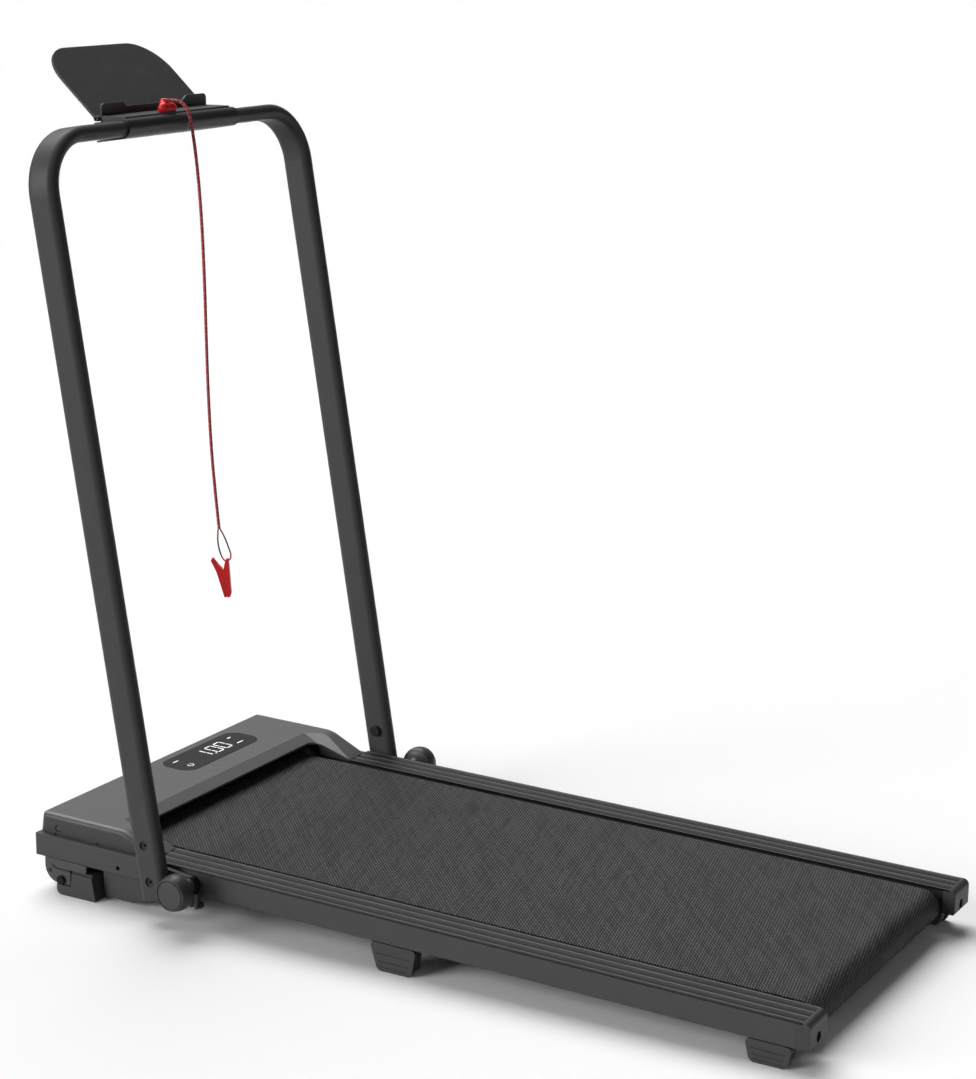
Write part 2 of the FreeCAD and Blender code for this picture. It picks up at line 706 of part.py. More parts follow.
def motor_cover():
    cover = cover_form(0).cut(cover_form(COVER_WALL))
    cuts = [prism(panel_outline(LOOSE), "z", COVER_TOP - PANEL_SUNK, COVER_TOP + 5)]
    wall = COVER_HALF - 2 * COVER_WALL
    z = TUBE_TOP + SCREW_UP
    holes = [rod(SCREW_HOLE_DIA, SCREW_X, z, wall, HALF)]
    holes += [rod(NOTCH_DIA, x, TUBE_TOP, wall, HALF) for x in COVER_NOTCHES]
    cuts += holes + [mirrored(h) for h in holes]
    return cover.cut(cuts)


def display_panel():
    return prism(panel_outline(0), "z", COVER_TOP - PANEL_SUNK, COVER_TOP + PANEL_PROUD)


def cover_screws():
    seat = COVER_HALF - COVER_WALL
    z = TUBE_TOP + SCREW_UP
    head = rod(SCREW_HEAD_DIA, SCREW_X, z, seat, seat + 1.6)
    return both(head)


# Belly pan and the sockets in its front

def front_openings(grow):
    inlet = block(-5, 60, INLET_Y - INLET_WIDTH / 2 - grow, INLET_Y + INLET_WIDTH / 2 + grow,
                  INLET_Z - INLET_HEIGHT / 2 - grow, INLET_Z + INLET_HEIGHT / 2 + grow)
    switch = block(-5, 60, SWITCH_Y - SWITCH_WIDTH / 2 - grow, SWITCH_Y + SWITCH_WIDTH / 2 + grow,
                   INLET_Z - SWITCH_HEIGHT / 2 - grow, INLET_Z + SWITCH_HEIGHT / 2 + grow)
    return [inlet, switch]


def belly_pan():
    t = PAN_SHEET
    low = PAN_BOTTOM
    front = PAN_FRONT
    between = TUBE_IN - 1
    pieces = [block(front, PAN_FLAT_END, -PAN_NARROW, PAN_NARROW, low, low + t)]
    pieces.append(block(front, front + t, -PAN_NARROW, PAN_NARROW, low, TUBE_LOW - SEAT))
    pieces.append(block(front, front + t, -between, between, low, TUBE_TOP - 1))
    skirt = [(PAN_STEP_X, TUBE_LOW, 0), (PAN_STEP_X, low, 6), (PAN_FLAT_END, low, 60),
             (PAN_SKIRT_END, TUBE_LOW, 0)]
    side = [block(front, PAN_STEP_X + t, PAN_NARROW - t, PAN_NARROW, low, TUBE_LOW)]
    side.append(prism(skirt, "y", PAN_HALF - t, PAN_HALF))
    side.append(block(PAN_STEP_X, PAN_STEP_X + t, PAN_NARROW - t, PAN_HALF, low + 6, TUBE_LOW))
    side.append(block(PAN_STEP_X + 6, PAN_FLAT_END - 6, PAN_NARROW - t, PAN_HALF, low, low + t))
    pieces += side + [mirrored(s) for s in side]
    return pieces[0].fuse(pieces[1:]).cut(front_openings(0)).removeSplitter()


def power_inlet():
    """Three-pin inlet and the frame of the power switch, both let into the pan's front."""
    t = 2.5
    face = PAN_FRONT - t
    cores = front_openings(-LOOSE)
    rims = front_openings(BEZEL)
    pieces = []
    for core, rim, depth, wall in zip(cores, rims, (INLET_DEPTH, SWITCH_DEPTH),
                                      (INLET_WALL, SWITCH_WALL)):
        body = core.common(block(face, PAN_FRONT + depth, -HALF, HALF, -50, 100))
        body = body.fuse(rim.common(block(face, PAN_FRONT - RUN_FIT, -HALF, HALF, -50, 100)))
        box = core.BoundBox
        well = block(face - 1, PAN_FRONT + depth - 3, box.YMin + wall, box.YMax - wall,
                     box.ZMin + wall, box.ZMax - wall)
        pieces.append(body.cut(well).removeSplitter())
    pins = []
    for y, z in ((-7, -2), (7, -2), (0, 3)):
        pins.append(block(PAN_FRONT + 1, PAN_FRONT + INLET_DEPTH - 2, INLET_Y + y - 1, INLET_Y + y + 1,
                          INLET_Z + z - 2, INLET_Z + z + 2))
    pieces[0] = pieces[0].fuse(pins).removeSplitter()
    return Part.makeCompound(pieces)


def power_switch():
    """Rocker with a shallow V face, tipped to its off side."""
    half = SWITCH_HEIGHT / 2 - BEZEL / 2 - LOOSE - SEAT
    x = SWITCH_PIVOT_X
    side = sharp((x - 6, INLET_Z - half), (x - 4, INLET_Z), (x - 6, INLET_Z + half),
                 (x + 2, INLET_Z + half - 2), (x + 4, INLET_Z), (x + 2, INLET_Z - half + 2))
    wide = SWITCH_WIDTH / 2 - SWITCH_WALL - LOOSE - SEAT
    rocker = prism(side, "y", SWITCH_Y - wide, SWITCH_Y + wide)
    rocker.rotate(V(x, 0, INLET_Z), ACROSS, -SWITCH_THROW / 2)
    return rocker


# Brackets, wheels and feet

def front_bracket():
    s = BRACKET_SHEET
    out = HALF + BRACKET_PROUD
    tab = TUBE_LOW - BRACKET_TAB_DROP
    cheek = [(BRACKET_FRONT, TUBE_LOW, 0), (BRACKET_TAB_END, TUBE_LOW, 0), (BRACKET_TAB_END, tab, 3),
             (BRACKET_CHEEK_END, tab, 2), (BRACKET_CHEEK_END, BRACKET_LOW, 2),
             (BRACKET_FRONT, BRACKET_LOW, BRACKET_ROUND)]
    inner_end = FRONT_FOOT_END - 2
    inner = [(BRACKET_FRONT, TUBE_LOW, 0), (inner_end, TUBE_LOW, 0), (inner_end, BRACKET_LOW, 3),
             (BRACKET_FRONT, BRACKET_LOW, BRACKET_ROUND)]
    pieces = [prism(cheek, "y", out - s, out), prism(inner, "y", out - BRACKET_SPAN, out - BRACKET_SPAN + s)]
    pieces.append(block(BRACKET_FRONT, BRACKET_TAB_END, out - BRACKET_SPAN, out, TUBE_LOW - s, TUBE_LOW))
    bracket = pieces[0].fuse(pieces[1:]).removeSplitter()
    holes = [rod(WHEEL_AXLE_DIA + 2 * RUN_FIT, WHEEL_X, WHEEL_Z, out - BRACKET_SPAN - 1, out + 1)]
    holes.append(rod(5, BRACKET_FRONT + 8, 11, out - s / 2, out + 1))
    return bracket.cut(holes)


def wheel_middle():
    out = HALF + BRACKET_PROUD
    return out - BRACKET_SPAN / 2


def transport_wheel():
    y = wheel_middle()
    w = WHEEL_WIDTH / 2
    r = WHEEL_DIA / 2
    section = [(WHEEL_AXLE_DIA / 2 + RUN_FIT, y - w, 0), (r, y - w, 2), (r, y + w, 2),
               (WHEEL_AXLE_DIA / 2 + RUN_FIT, y + w, 0)]
    face = Part.Face(outline(section, lambda a, b: V(WHEEL_X + a, b, WHEEL_Z)))
    return face.revolve(V(WHEEL_X, 0, WHEEL_Z), ACROSS, 360)


def wheel_axle():
    out = HALF + BRACKET_PROUD
    pin = rod(WHEEL_AXLE_DIA, WHEEL_X, WHEEL_Z, out - BRACKET_SPAN - 1, out + 1)
    head = rod(WHEEL_HEAD_DIA, WHEEL_X, WHEEL_Z, out, out + 3.5)
    return pin.fuse(head).removeSplitter()


def front_foot():
    top = TUBE_LOW - BRACKET_TAB_DROP - SEAT
    out = HALF + FRONT_FOOT_PROUD
    seat = HALF + BRACKET_PROUD - BRACKET_SPAN + BRACKET_SHEET
    x0 = FRONT_FOOT_X
    x1 = FRONT_FOOT_END
    main = [(x0, top, 2), (FRONT_FOOT_TOP, top, 6), (x1, floor_at(x1), 2), (x0, floor_at(x0), 0)]
    brow = min(BRACKET_LOW, WHEEL_Z - WHEEL_HEAD_DIA / 2) - SEAT
    nose = [(FRONT_FOOT_NOSE, brow, 0), (x0, brow, 0), (x0, floor_at(x0), 0),
            (FRONT_FOOT_NOSE, floor_at(FRONT_FOOT_NOSE), FRONT_FOOT_ROUND)]
    foot = prism(main, "y", seat, out).fuse(prism(nose, "y", HALF, out)).removeSplitter()
    step = FRONT_FOOT_REBATE
    rebate = block(x0 - 1, x1, HALF, out + 1, top - step, top + 1)
    slit = block(x0 - 1, x0 + step / 2, HALF, out + 1, top - FRONT_FOOT_SLIT, top + 1)
    return foot.cut([rebate, slit])


def foot(spans):
    """Tapered rubber foot: a core that meets the side tube, and a rounded outer plate with grooves."""
    top0, top1, low0, low1 = spans
    out = HALF - 0.5
    face = out - FOOT_FACE
    in0 = low0 + FOOT_EDGE
    in1 = low1 - FOOT_EDGE
    core = [(top0 + FOOT_EDGE, TUBE_LOW, 0), (top1 - FOOT_EDGE, TUBE_LOW, 0), (in1, floor_at(in1), FOOT_ROUND),
            (in0, floor_at(in0), FOOT_ROUND)]
    top = TUBE_LOW - FOOT_GAP
    plate = [(top0, top, FOOT_TOP_ROUND), (top1, top, FOOT_TOP_ROUND), (low1, floor_at(low1), FOOT_ROUND),
             (low0, floor_at(low0), FOOT_ROUND)]
    body = prism(core, "y", out - FOOT_WIDTH, face).fuse(prism(plate, "y", face, out)).removeSplitter()
    cuts = []
    for share in GROOVE_SHARES:
        z = floor_at(low0) + (top - floor_at(low0)) * share
        start = low0 + (top0 - low0) * share + GROOVE_INSET
        end = low1 + (top1 - low1) * share - GROOVE_INSET
        cuts.append(block(start, end, out - GROOVE_DEPTH, out + 1, z, z + GROOVE_HEIGHT))
    return body.cut(cuts)


# Handrail pivots

def pivot_bush():
    bush = rod(BUSH_DIA, PIVOT_X, PIVOT_Z, HALF - BUSH_INSIDE, PLATE_OUT - LOOSE)
    flange = rod(BUSH_FLANGE_DIA, PIVOT_X, PIVOT_Z, HALF, PLATE_IN - SEAT)
    bore = rod(STUD_DIA + 2 * RUN_FIT, PIVOT_X, PIVOT_Z, HALF - BUSH_INSIDE - 1, PLATE_OUT)
    return bush.fuse(flange).cut(bore).removeSplitter()


def fold_stop():
    x = PIVOT_X + STOP_OFFSET
    low = TUBE_LOW - STOP_DROP
    high = TUBE_LOW + STOP_LAP
    tab = [(x, low, 1.5), (x + STOP_TAB, low, 1.5), (x + STOP_TAB, high, 1.5), (x, high, 1.5)]
    stop = prism(tab, "y", HALF, PLATE_OUT - SEAT)
    ear = rod(STOP_EAR_DIA, x + STOP_TAB, low + 0.6 * STOP_EAR_DIA, HALF, HALF + STOP_THICK)
    return stop.fuse(ear).removeSplitter()


def clamp_knob():
    """Turned knob with its stud: neck, flare, bulged grip and a flat ringed face."""
    y = PLATE_OUT + SEAT
    neck = KNOB_NECK_DIA / 2
    grip = KNOB_DIA / 2
    face = KNOB_FACE_DIA / 2
    end = KNOB_LENGTH

    def at(r, t):
        return V(PIVOT_X + r, y + t, PIVOT_Z)

    waist = at(neck, 3)
    shoulder = at(grip - 1.5, 0.5 * end)
    crown = at(face + 1, end - 2)
    edges = [Part.LineSegment(at(0, 0), at(neck, 0)).toShape()]
    edges.append(Part.LineSegment(at(neck, 0), waist).toShape())
    edges.append(Part.Arc(waist, at(neck + 2, 0.32 * end), shoulder).toShape())
    edges.append(Part.Arc(shoulder, at(grip, 0.7 * end), crown).toShape())
    rim = face - KNOB_GROOVE
    cap = rim - KNOB_GROOVE
    sunk = end - KNOB_GROOVE
    turns = [crown, at(face, end), at(rim, end), at(rim, sunk), at(cap, sunk), at(cap, end), at(0, end)]
    turns.append(at(0, 0))
    edges += [Part.LineSegment(turns[i], turns[i + 1]).toShape() for i in range(len(turns) - 1)]
    knob = Part.Face(Part.Wire(edges)).revolve(V(PIVOT_X, 0, PIVOT_Z), ACROSS, 360)
    stud = rod(STUD_DIA, PIVOT_X, PIVOT_Z, HALF - BUSH_INSIDE + 4, y + 4)
    return knob.fuse(stud).removeSplitter()


# Handrail, in rail coordinates

def rail_form(inset):
    """Solid flat-oval tube bent to a U."""
    r = RAIL_BEND
    y = RAIL_Y
    z = BAR_U
    s = r * math.sqrt(0.5)
    x = BOLT_R
    low = RAIL_LOW - (1 if inset else 0)
    left = V(x, -y, low)
    a = Part.LineSegment(left, V(x, -y, z - r)).toShape()
    b = Part.Arc(V(x, -y, z - r), V(x, -y + r - s, z - r + s), V(x, -y + r, z)).toShape()
    c = Part.LineSegment(V(x, -y + r, z), V(x, y - r, z)).toShape()
    d = Part.Arc(V(x, y - r, z), V(x, y - r + s, z - r + s), V(x, y, z - r)).toShape()
    e = Part.LineSegment(V(x, y, z - r), V(x, y, low)).toShape()
    section = oval(RAIL_DEPTH - 2 * inset, RAIL_THICK - 2 * inset, lambda p, q: left + V(p, q, 0))
    return Part.Wire([a, b, c, d, e]).makePipeShell([section], True, False)


def handrail():
    tube = rail_form(0).cut(rail_form(RAIL_WALL))
    holes = []
    for u in (BOLT_U, BOLT_U + BOLT_PITCH):
        holes.append(rod(BOLT_WINDOW_DIA, BOLT_R, u, RAIL_Y, RAIL_OUT + 1))
    holes.append(rod(BOLT_DIA + LOOSE, BOLT_R, BOLT_U + BOLT_PITCH, PLATE_OUT - 1, RAIL_Y))
    wide = WEB_WIDTH / 2 + LOOSE
    holes.append(block(BOLT_R - wide, BOLT_R + wide, PLATE_OUT - 1, RAIL_Y - 4, RAIL_LOW - 1, BOLT_U))
    holes.append(rod(2 * wide, BOLT_R, BOLT_U, PLATE_OUT - 1, RAIL_Y - 4))
    return tube.cut(holes + [mirrored(h) for h in holes])


def swing_bracket():
    """Link from the fold pivot to the lower bolt, with a stop tail and a tongue up inside the upright."""
    link = loop_form(-ARM, BOLT_END_RADIUS, 0, 0, PIVOT_END_RADIUS, 0, PLATE_IN, PLATE_OUT)
    rear = STOP_OFFSET - LOOSE
    ahead = rear - TAIL_WIDTH
    tail = [(ahead, -TAIL_LENGTH, 4), (rear, -TAIL_LENGTH, 4), (rear, 0, 0), (ahead, 0, 0)]
    link = link.fuse(prism(tail, "y", PLATE_IN, PLATE_OUT))
    link.rotate(V(0, 0, 0), ACROSS, LEAN)
    gap = RAIL_WALL + LOOSE
    section = oval(RAIL_DEPTH - 2 * gap, RAIL_THICK - 2 * gap,
                   lambda p, q: V(BOLT_R + p, RAIL_Y + q, RAIL_LOW))
    tongue = Part.Face(section).extrude(V(0, 0, RAIL_BELOW_BOLT + BOLT_PITCH + TONGUE_ABOVE))
    half = WEB_WIDTH / 2
    web = block(BOLT_R - half, BOLT_R + half, PLATE_OUT - 1, RAIL_Y - 4, RAIL_LOW, BOLT_U)
    web = web.fuse(rod(WEB_WIDTH, BOLT_R, BOLT_U, PLATE_OUT - 1, RAIL_Y - 4))
    cuts = [rod(BUSH_DIA + 2 * RUN_FIT, 0, 0, PLATE_IN - 1, PLATE_OUT + 1)]
    head_in = RAIL_OUT - BOLT_SUNK - BOLT_HEAD
    for u in (BOLT_U, BOLT_U + BOLT_PITCH):
        cuts.append(rod(BOLT_DIA + 2 * RUN_FIT, BOLT_R, u, PLATE_IN - 1, RAIL_OUT))
        cuts.append(rod(BOLT_HEAD_DIA + LOOSE, BOLT_R, u, head_in, RAIL_OUT))
    return tongue.fuse([link, web]).cut(cuts).removeSplitter()


def rail_bolts():
    """Socket-head bolts with round nuts, two in each upright."""
    head_out = RAIL_OUT - BOLT_SUNK
    pieces = []
    for u, inner in ((BOLT_U, PLATE_IN + 1), (BOLT_U + BOLT_PITCH, PLATE_OUT - NUT_THICK)):
        bolt = rod(BOLT_DIA, BOLT_R, u, inner, head_out - 1)
        bolt = bolt.fuse(rod(BOLT_HEAD_DIA, BOLT_R, u, head_out - BOLT_HEAD, head_out))
        bolt = bolt.cut(rod(BOLT_HEAD_DIA / 2, BOLT_R, u, head_out - BOLT_HEAD / 2, head_out + 1))
        if u > BOLT_U:
            bolt = bolt.fuse(rod(NUT_DIA, BOLT_R, u, PLATE_OUT - NUT_THICK, PLATE_OUT))
        pieces.append(bolt.removeSplitter())
    return Part.makeCompound(pieces + [mirrored(p) for p in pieces])


# Tablet holder, in rail coordinates measured from the middle of the crossbar

def shroud_half():
    back = BAR_BACK

    def channel(r, front, y0, y1):
        up = Part.LineSegment(V(-front, y0, r), V(back, y0, r)).toShape()
        turn = Part.Arc(V(back, y0, r), V(back + r, y0, 0), V(back, y0, -r)).toShape()
        low = Part.LineSegment(V(back, y0, -r), V(-front, y0, -r)).toShape()
        close = Part.LineSegment(V(-front, y0, -r), V(-front, y0, r)).toShape()
        return Part.Face(Part.Wire([up, turn, low, close])).extrude(ACROSS * (y1 - y0))

    outer = channel(SHROUD_OUT, SHROUD_FRONT, SHROUD_SEAM / 2, SHROUD_HALF)
    return outer.cut(channel(SHROUD_IN, SHROUD_FRONT + 1, SHROUD_SEAM / 2 - 1, SHROUD_HALF + 1))


def clamp_bar():
    """Bar that closes the open front of both shroud halves."""
    front = -SHROUD_FRONT
    high = SHROUD_IN - LOOSE
    half = SHROUD_HALF - 4
    return block(front + 1, front + 1 + CLAMP_BAR_THICK, -half, half, -high, high)


def hinge_pin():
    return rod(PIN_DIA, -HINGE_BACK, HINGE_UP, -LUG_OUT - 10, LUG_OUT + 10)


# Tablet holder pieces in level coordinates

def tilted(r, u):
    """Level coordinates of a point given in rail coordinates from the middle of the crossbar."""
    t = math.radians(LEAN - INCLINE)
    return (r * math.cos(t) - u * math.sin(t), r * math.sin(t) + u * math.cos(t))


BAR_BACK = RAIL_DEPTH / 2 - RAIL_THICK / 2
BAR_TILT = math.radians(LEAN - INCLINE)
LEDGE_LOW = BAR_BACK * math.sin(BAR_TILT) + SHROUD_OUT
LEDGE_TOP = LEDGE_LOW + LEDGE_THICK
HINGE_X, HINGE_Z = tilted(-HINGE_BACK, HINGE_UP)
PIN_HALF = LUG_OUT + 10


def holder_ledge():
    touch = tilted(BAR_BACK + SHROUD_OUT * math.tan(BAR_TILT / 2), SHROUD_OUT)
    start = tilted((LEDGE_FRONT + SHROUD_OUT * math.sin(BAR_TILT)) / math.cos(BAR_TILT), SHROUD_OUT)
    side = sharp(start, touch, (LEDGE_REAR, LEDGE_LOW), (LEDGE_REAR, LEDGE_TOP), (start[0], LEDGE_TOP))
    ledge = prism(side, "y", -LEDGE_HALF, LEDGE_HALF)
    high = LEDGE_TOP + PRONG_HEIGHT
    mid = LEDGE_TOP + LIP_HEIGHT
    h = LEDGE_HALF
    inner = PRONG_IN - 8
    lip = [(-h, LEDGE_TOP - 1, 0), (-h, high, 6), (-PRONG_IN, high, 3), (-inner, mid, 3), (inner, mid, 3),
           (PRONG_IN, high, 3), (h, high, 6), (h, LEDGE_TOP - 1, 0)]
    ledge = ledge.fuse(prism(lip, "x", start[0], start[0] + LIP_THICK))
    lugs = []
    foot_z = tilted(-HINGE_BACK - 2, SHROUD_OUT)
    for y0, y1 in ((LUG_IN, LUG_OUT), (-LUG_OUT, -LUG_IN)):
        web = sharp(foot_z, start, (start[0] + 1, LEDGE_TOP), (HINGE_X, HINGE_Z + HINGE_DIA / 2),
                    (HINGE_X - HINGE_DIA / 2, HINGE_Z))
        lugs.append(prism(web, "y", y0, y1).fuse(rod(HINGE_DIA, HINGE_X, HINGE_Z, y0, y1)))
    ledge = ledge.fuse(lugs)
    return ledge.cut(rod(PIN_DIA, HINGE_X, HINGE_Z, -2 * h, 2 * h)).removeSplitter()


def tablet_plate():
    """Rounded plate on hinge barrels, built upright and tilted back about the hinge."""
    w = TABLET_HALF
    face = [(-w, 0, 0), (w, 0, 0), (w, TABLET_HEIGHT, TABLET_ROUND), (-w, TABLET_HEIGHT, TABLET_ROUND)]
    plate = prism(face, "x", -TABLET_THICK / 2, TABLET_THICK / 2)
    gap = LUG_OUT - LUG_IN + 2 * SEAT
    clear = HINGE_DIA / 2 + 3
    spans = [(-LUG_IN + SEAT, LUG_IN - SEAT), (LUG_OUT + SEAT, w), (-w, -LUG_OUT - SEAT)]
    barrels = [rod(HINGE_DIA, 0, 0, y0, y1) for y0, y1 in spans]
    cuts = [block(-10, 10, y, y + gap, -10, clear) for y in (LUG_IN - SEAT, -LUG_OUT - SEAT)]
    plate = plate.cut(cuts).fuse(barrels)
    plate = plate.cut(rod(PIN_DIA + 2 * RUN_FIT, 0, 0, -2 * w, PIN_HALF + SEAT)).removeSplitter()
    plate.rotate(V(0, 0, 0), ACROSS, -TABLET_TILT)
    plate.translate(V(HINGE_X, 0, HINGE_Z))
    return plate


# Safety key, lanyard and clip in level coordinates

KEY_Z = LEDGE_TOP + 0.3 * KEY_DIA
CORD_START = V(KEY_X - 0.5, KEY_Y + 0.5, KEY_Z + KEY_DIA / 2 + CORD_DIA / 2 + 0.6)
CORD_RUNS = [(9.5, 10, 1), (11, 4, -9), (4.2, 2, -15.5), (0.3, 4.5, -22), (0, 6, -36), (0, 6, -58),
             (0, 3.5, -85), (0, 0.5, -140), (0, 4, -95), (0, 6.5, -62), (0, 6.5, -52)]
LOOP_POINTS = [(-1.15, 0), (-3.5, -17), (3.5, -44.5), (12.5, -45), (16, -38), (11.5, -24), (7, -11),
               (1.15, 0)]


def cord_points():
    points = [CORD_START]
    for run in CORD_RUNS:
        points.append(points[-1] + V(*run))
    return points


CLIP_AT = cord_points()[-1]


def safety_key():
    half = KEY_LENGTH / 2 - KEY_DIA / 2
    r = KEY_DIA / 2
    body = rod(KEY_DIA, KEY_X, KEY_Z, KEY_Y - half, KEY_Y + half)
    body = body.fuse([Part.makeSphere(r, V(KEY_X, y, KEY_Z)) for y in (KEY_Y - half, KEY_Y + half)])
    heading = V(*CORD_RUNS[0]).normalize()
    boss_at = CORD_START - heading * KEY_BOSS_LENGTH
    boss = Part.makeCylinder(KEY_BOSS_DIA / 2, KEY_BOSS_LENGTH, boss_at, heading)
    brow = V(KEY_X, KEY_Y - half + 1, KEY_Z + 1)
    rise = boss_at - brow
    dome = Part.makeCone(r, KEY_BOSS_DIA / 2, rise.Length, brow, rise)
    body = body.fuse([boss, dome, Part.makeSphere(r, brow), Part.makeSphere(KEY_BOSS_DIA / 2, boss_at)])
    under = block(KEY_X - 20, KEY_X + 20, KEY_Y - 40, KEY_Y + 40, KEY_Z - 20, LEDGE_TOP + LOOSE)
    return body.cut(under).removeSplitter()


def swept(points, dia, name):
    """Round cord along straight runs joined by tangent arcs."""
    edges = []
    radii = []
    start = points[0]
    for i in range(1, len(points) - 1):
        here = points[i]
        back = points[i - 1] - here
        ahead = points[i + 1] - here
        turn = math.pi - back.getAngle(ahead)
        away = 0.45 * min(back.Length, ahead.Length)
        radius = away / math.tan(turn / 2)
        radii.append(round(radius, 1))
        back.normalize()
        ahead.normalize()
        enter = here + back * away
        leave = here + ahead * away
        middle = here + (back + ahead).normalize() * (radius / math.cos(turn / 2) - radius)
        edges.append(Part.LineSegment(start, enter).toShape())
        edges.append(Part.Arc(enter, middle, leave).toShape())
        start = leave
    edges.append(Part.LineSegment(start, points[-1]).toShape())
    path = Part.Wire(edges)
    heading = points[1] - points[0]
    section = Part.Wire([Part.Circle(points[0], heading, dia / 2).toShape()])
    cord = path.makePipeShell([section], True, True)
    share = cord.Volume / (math.pi * dia * dia / 4 * path.Length)
    print(name, "bend radii", radii, "smallest", min(radii))
    print(name, "volume over section times length", round(share, 4))
    return cord


def clip_place(shape):
    """Turns a clip piece to face sideways and hangs it from the cord's lower end."""
    placed = shape.copy()
    placed.rotate(V(0, 0, 0), V(0, 0, 1), CLIP_TURN)
    placed.translate(CLIP_AT)
    return placed


def lanyard_loop():
    c = math.cos(math.radians(CLIP_TURN))
    s = math.sin(math.radians(CLIP_TURN))
    points = [CLIP_AT + V(a * c, a * s, b) for a, b in LOOP_POINTS]
    return swept(points, LOOP_DIA, "loop")


CLIP_PIVOT = (3.2, -60.0)


def clip_jaws():
    """Two jaws of a spring clip: one holds the pin and the cord's eye, the other swings on the pin."""
    w = CLIP_WIDTH / 2
    px, pz = CLIP_PIVOT
    hold = [(5.4, -52.5, 1), (8, -42.5, 1.5), (11.5, -42, 1.5), (12.5, -48.5, 3), (14.8, -90, 2),
            (13, -95, 1), (9.2, -95, 0), (4.1, -60, 0), (5.4, -55, 0)]
    move = [(-10.2, -39.7, 1.5), (-0.3, -52.5, 1), (2.8, -55, 0), (8.6, -95, 0), (5.3, -95, 1),
            (-4.6, -60, 5), (-12, -44, 1.5)]
    boss = 6.4
    third = CLIP_WIDTH / 6
    fixed = prism(hold, "y", -w, w).cut(rod(boss + 2 * SEAT, px, pz, -third - SEAT, third + SEAT))
    ears = [ring(boss, CLIP_PIN_DIA, px, pz, third + SEAT, w)]
    ears.append(ring(boss, CLIP_PIN_DIA, px, pz, -w, -third - SEAT))
    pin = rod(CLIP_PIN_DIA, px, pz, -w, w)
    eye = Part.makeCylinder(CLIP_EYE_DIA / 2, 30, V(0, 0, -44.9), V(1, 0, 0))
    fixed = fixed.fuse(ears + [pin]).cut(eye).removeSplitter()
    swing = prism(move, "y", -w, w)
    sides = [rod(boss + 2 * SEAT, px, pz, third, w + 1), rod(boss + 2 * SEAT, px, pz, -w - 1, -third)]
    hub = rod(boss, px, pz, -third, third)
    swing = swing.cut(sides).fuse(hub).cut(rod(CLIP_PIN_DIA + 2 * RUN_FIT, px, pz, -w - 1, w + 1))
    return clip_place(fixed), clip_place(swing.removeSplitter())


# Placing and writing

def tip_point(p):
    corner = V(FRAME_LENGTH, 0, 0)
    return corner + FreeCAD.Rotation(ACROSS, INCLINE).multVec(p - corner)


def rail_point(p):
    return tip_point(FreeCAD.Rotation(ACROSS, -LEAN).multVec(p) + V(PIVOT_X, 0, PIVOT_Z))


BAR_AT = rail_point(V(BOLT_R, 0, BAR_U))


def on_deck(shape):
    placed = shape.copy()
    placed.rotate(V(FRAME_LENGTH, 0, 0), ACROSS, INCLINE)
    return placed


def on_rail(shape):
    placed = shape.copy()
    placed.rotate(V(0, 0, 0), ACROSS, -LEAN)
    placed.translate(V(PIVOT_X, 0, PIVOT_Z))
    return on_deck(placed)


def on_bar(shape):
    placed = shape.copy()
    placed.translate(V(BOLT_R, 0, BAR_U))
    return on_rail(placed)


def on_level(shape):
    placed = shape.copy()
    placed.translate(BAR_AT)
    return placed


def deck_pieces():
    pieces = {}
    pieces.update(pair("side_tube", side_tube()))
    pieces.update(pair("tread", tread()))
    pieces.update(pair("rear_cap", rear_cap()))
    pieces.update({"cross_tubes": cross_tubes(), "running_board": running_board(),
                   "board_cushions": board_cushions(), "walking_belt": walking_belt(),
                   "front_roller": roller(FRONT_ROLLER_X), "front_bearings": bearings(FRONT_ROLLER_X),
                   "rear_roller": roller(REAR_ROLLER_X), "rear_bearings": bearings(REAR_ROLLER_X),
                   "front_axle": front_axle(), "rear_axle": rear_axle(), "adjuster_bolts": adjuster_bolts(),
                   "roller_pulley": pulley(ROLLER_PULLEY_DIA, BEARING_DIA, FRONT_ROLLER_X, AXLE_Z),
                   "motor_pulley": pulley(MOTOR_PULLEY_DIA, MOTOR_SHAFT_DIA, MOTOR_X, MOTOR_Z),
                   "motor": motor(), "motor_shaft": motor_shaft(), "motor_saddle": motor_saddle(),
                   "drive_belt": drive_belt(), "control_board": control_board(),
                   "motor_cover": motor_cover(), "display_panel": display_panel(),
                   "cover_screws": cover_screws(), "belly_pan": belly_pan(),
                   "power_inlet": power_inlet(), "power_switch": power_switch(),
                   "wheel_axles": both(wheel_axle()), "pivot_bushes": both(pivot_bush()),
                   "fold_stops": both(fold_stop())})
    pieces.update(pair("front_bracket", front_bracket()))
    pieces.update(pair("transport_wheel", transport_wheel()))
    pieces.update(pair("front_foot", front_foot()))
    pieces.update(pair("mid_foot", foot(MID_FOOT)))
    pieces.update(pair("rear_foot", foot(REAR_FOOT)))
    pieces.update(pair("clamp_knob", clamp_knob()))
    return {name: on_deck(shape) for name, shape in pieces.items()}


def rail_pieces():
    pieces = {"handrail": handrail(), "rail_bolts": rail_bolts()}
    pieces.update(pair("swing_bracket", swing_bracket()))
    placed = {name: on_rail(shape) for name, shape in pieces.items()}
    held = pair("holder_shroud", shroud_half())
    held.update({"holder_clamp": clamp_bar(), "hinge_pin": hinge_pin()})
    placed.update({name: on_bar(shape) for name, shape in held.items()})
    fixed, swing = clip_jaws()
    level = {"holder_ledge": holder_ledge(), "tablet_plate": tablet_plate(), "safety_key": safety_key(),
             "lanyard_cord": swept(cord_points(), CORD_DIA, "lanyard"), "lanyard_loop": lanyard_loop(),
             "clip_holder": fixed, "clip_jaw": swing}
    placed.update({name: on_level(shape) for name, shape in level.items()})
    return placed


HANGING = ("lanyard_cord", "lanyard_loop", "clip_holder", "clip_jaw")


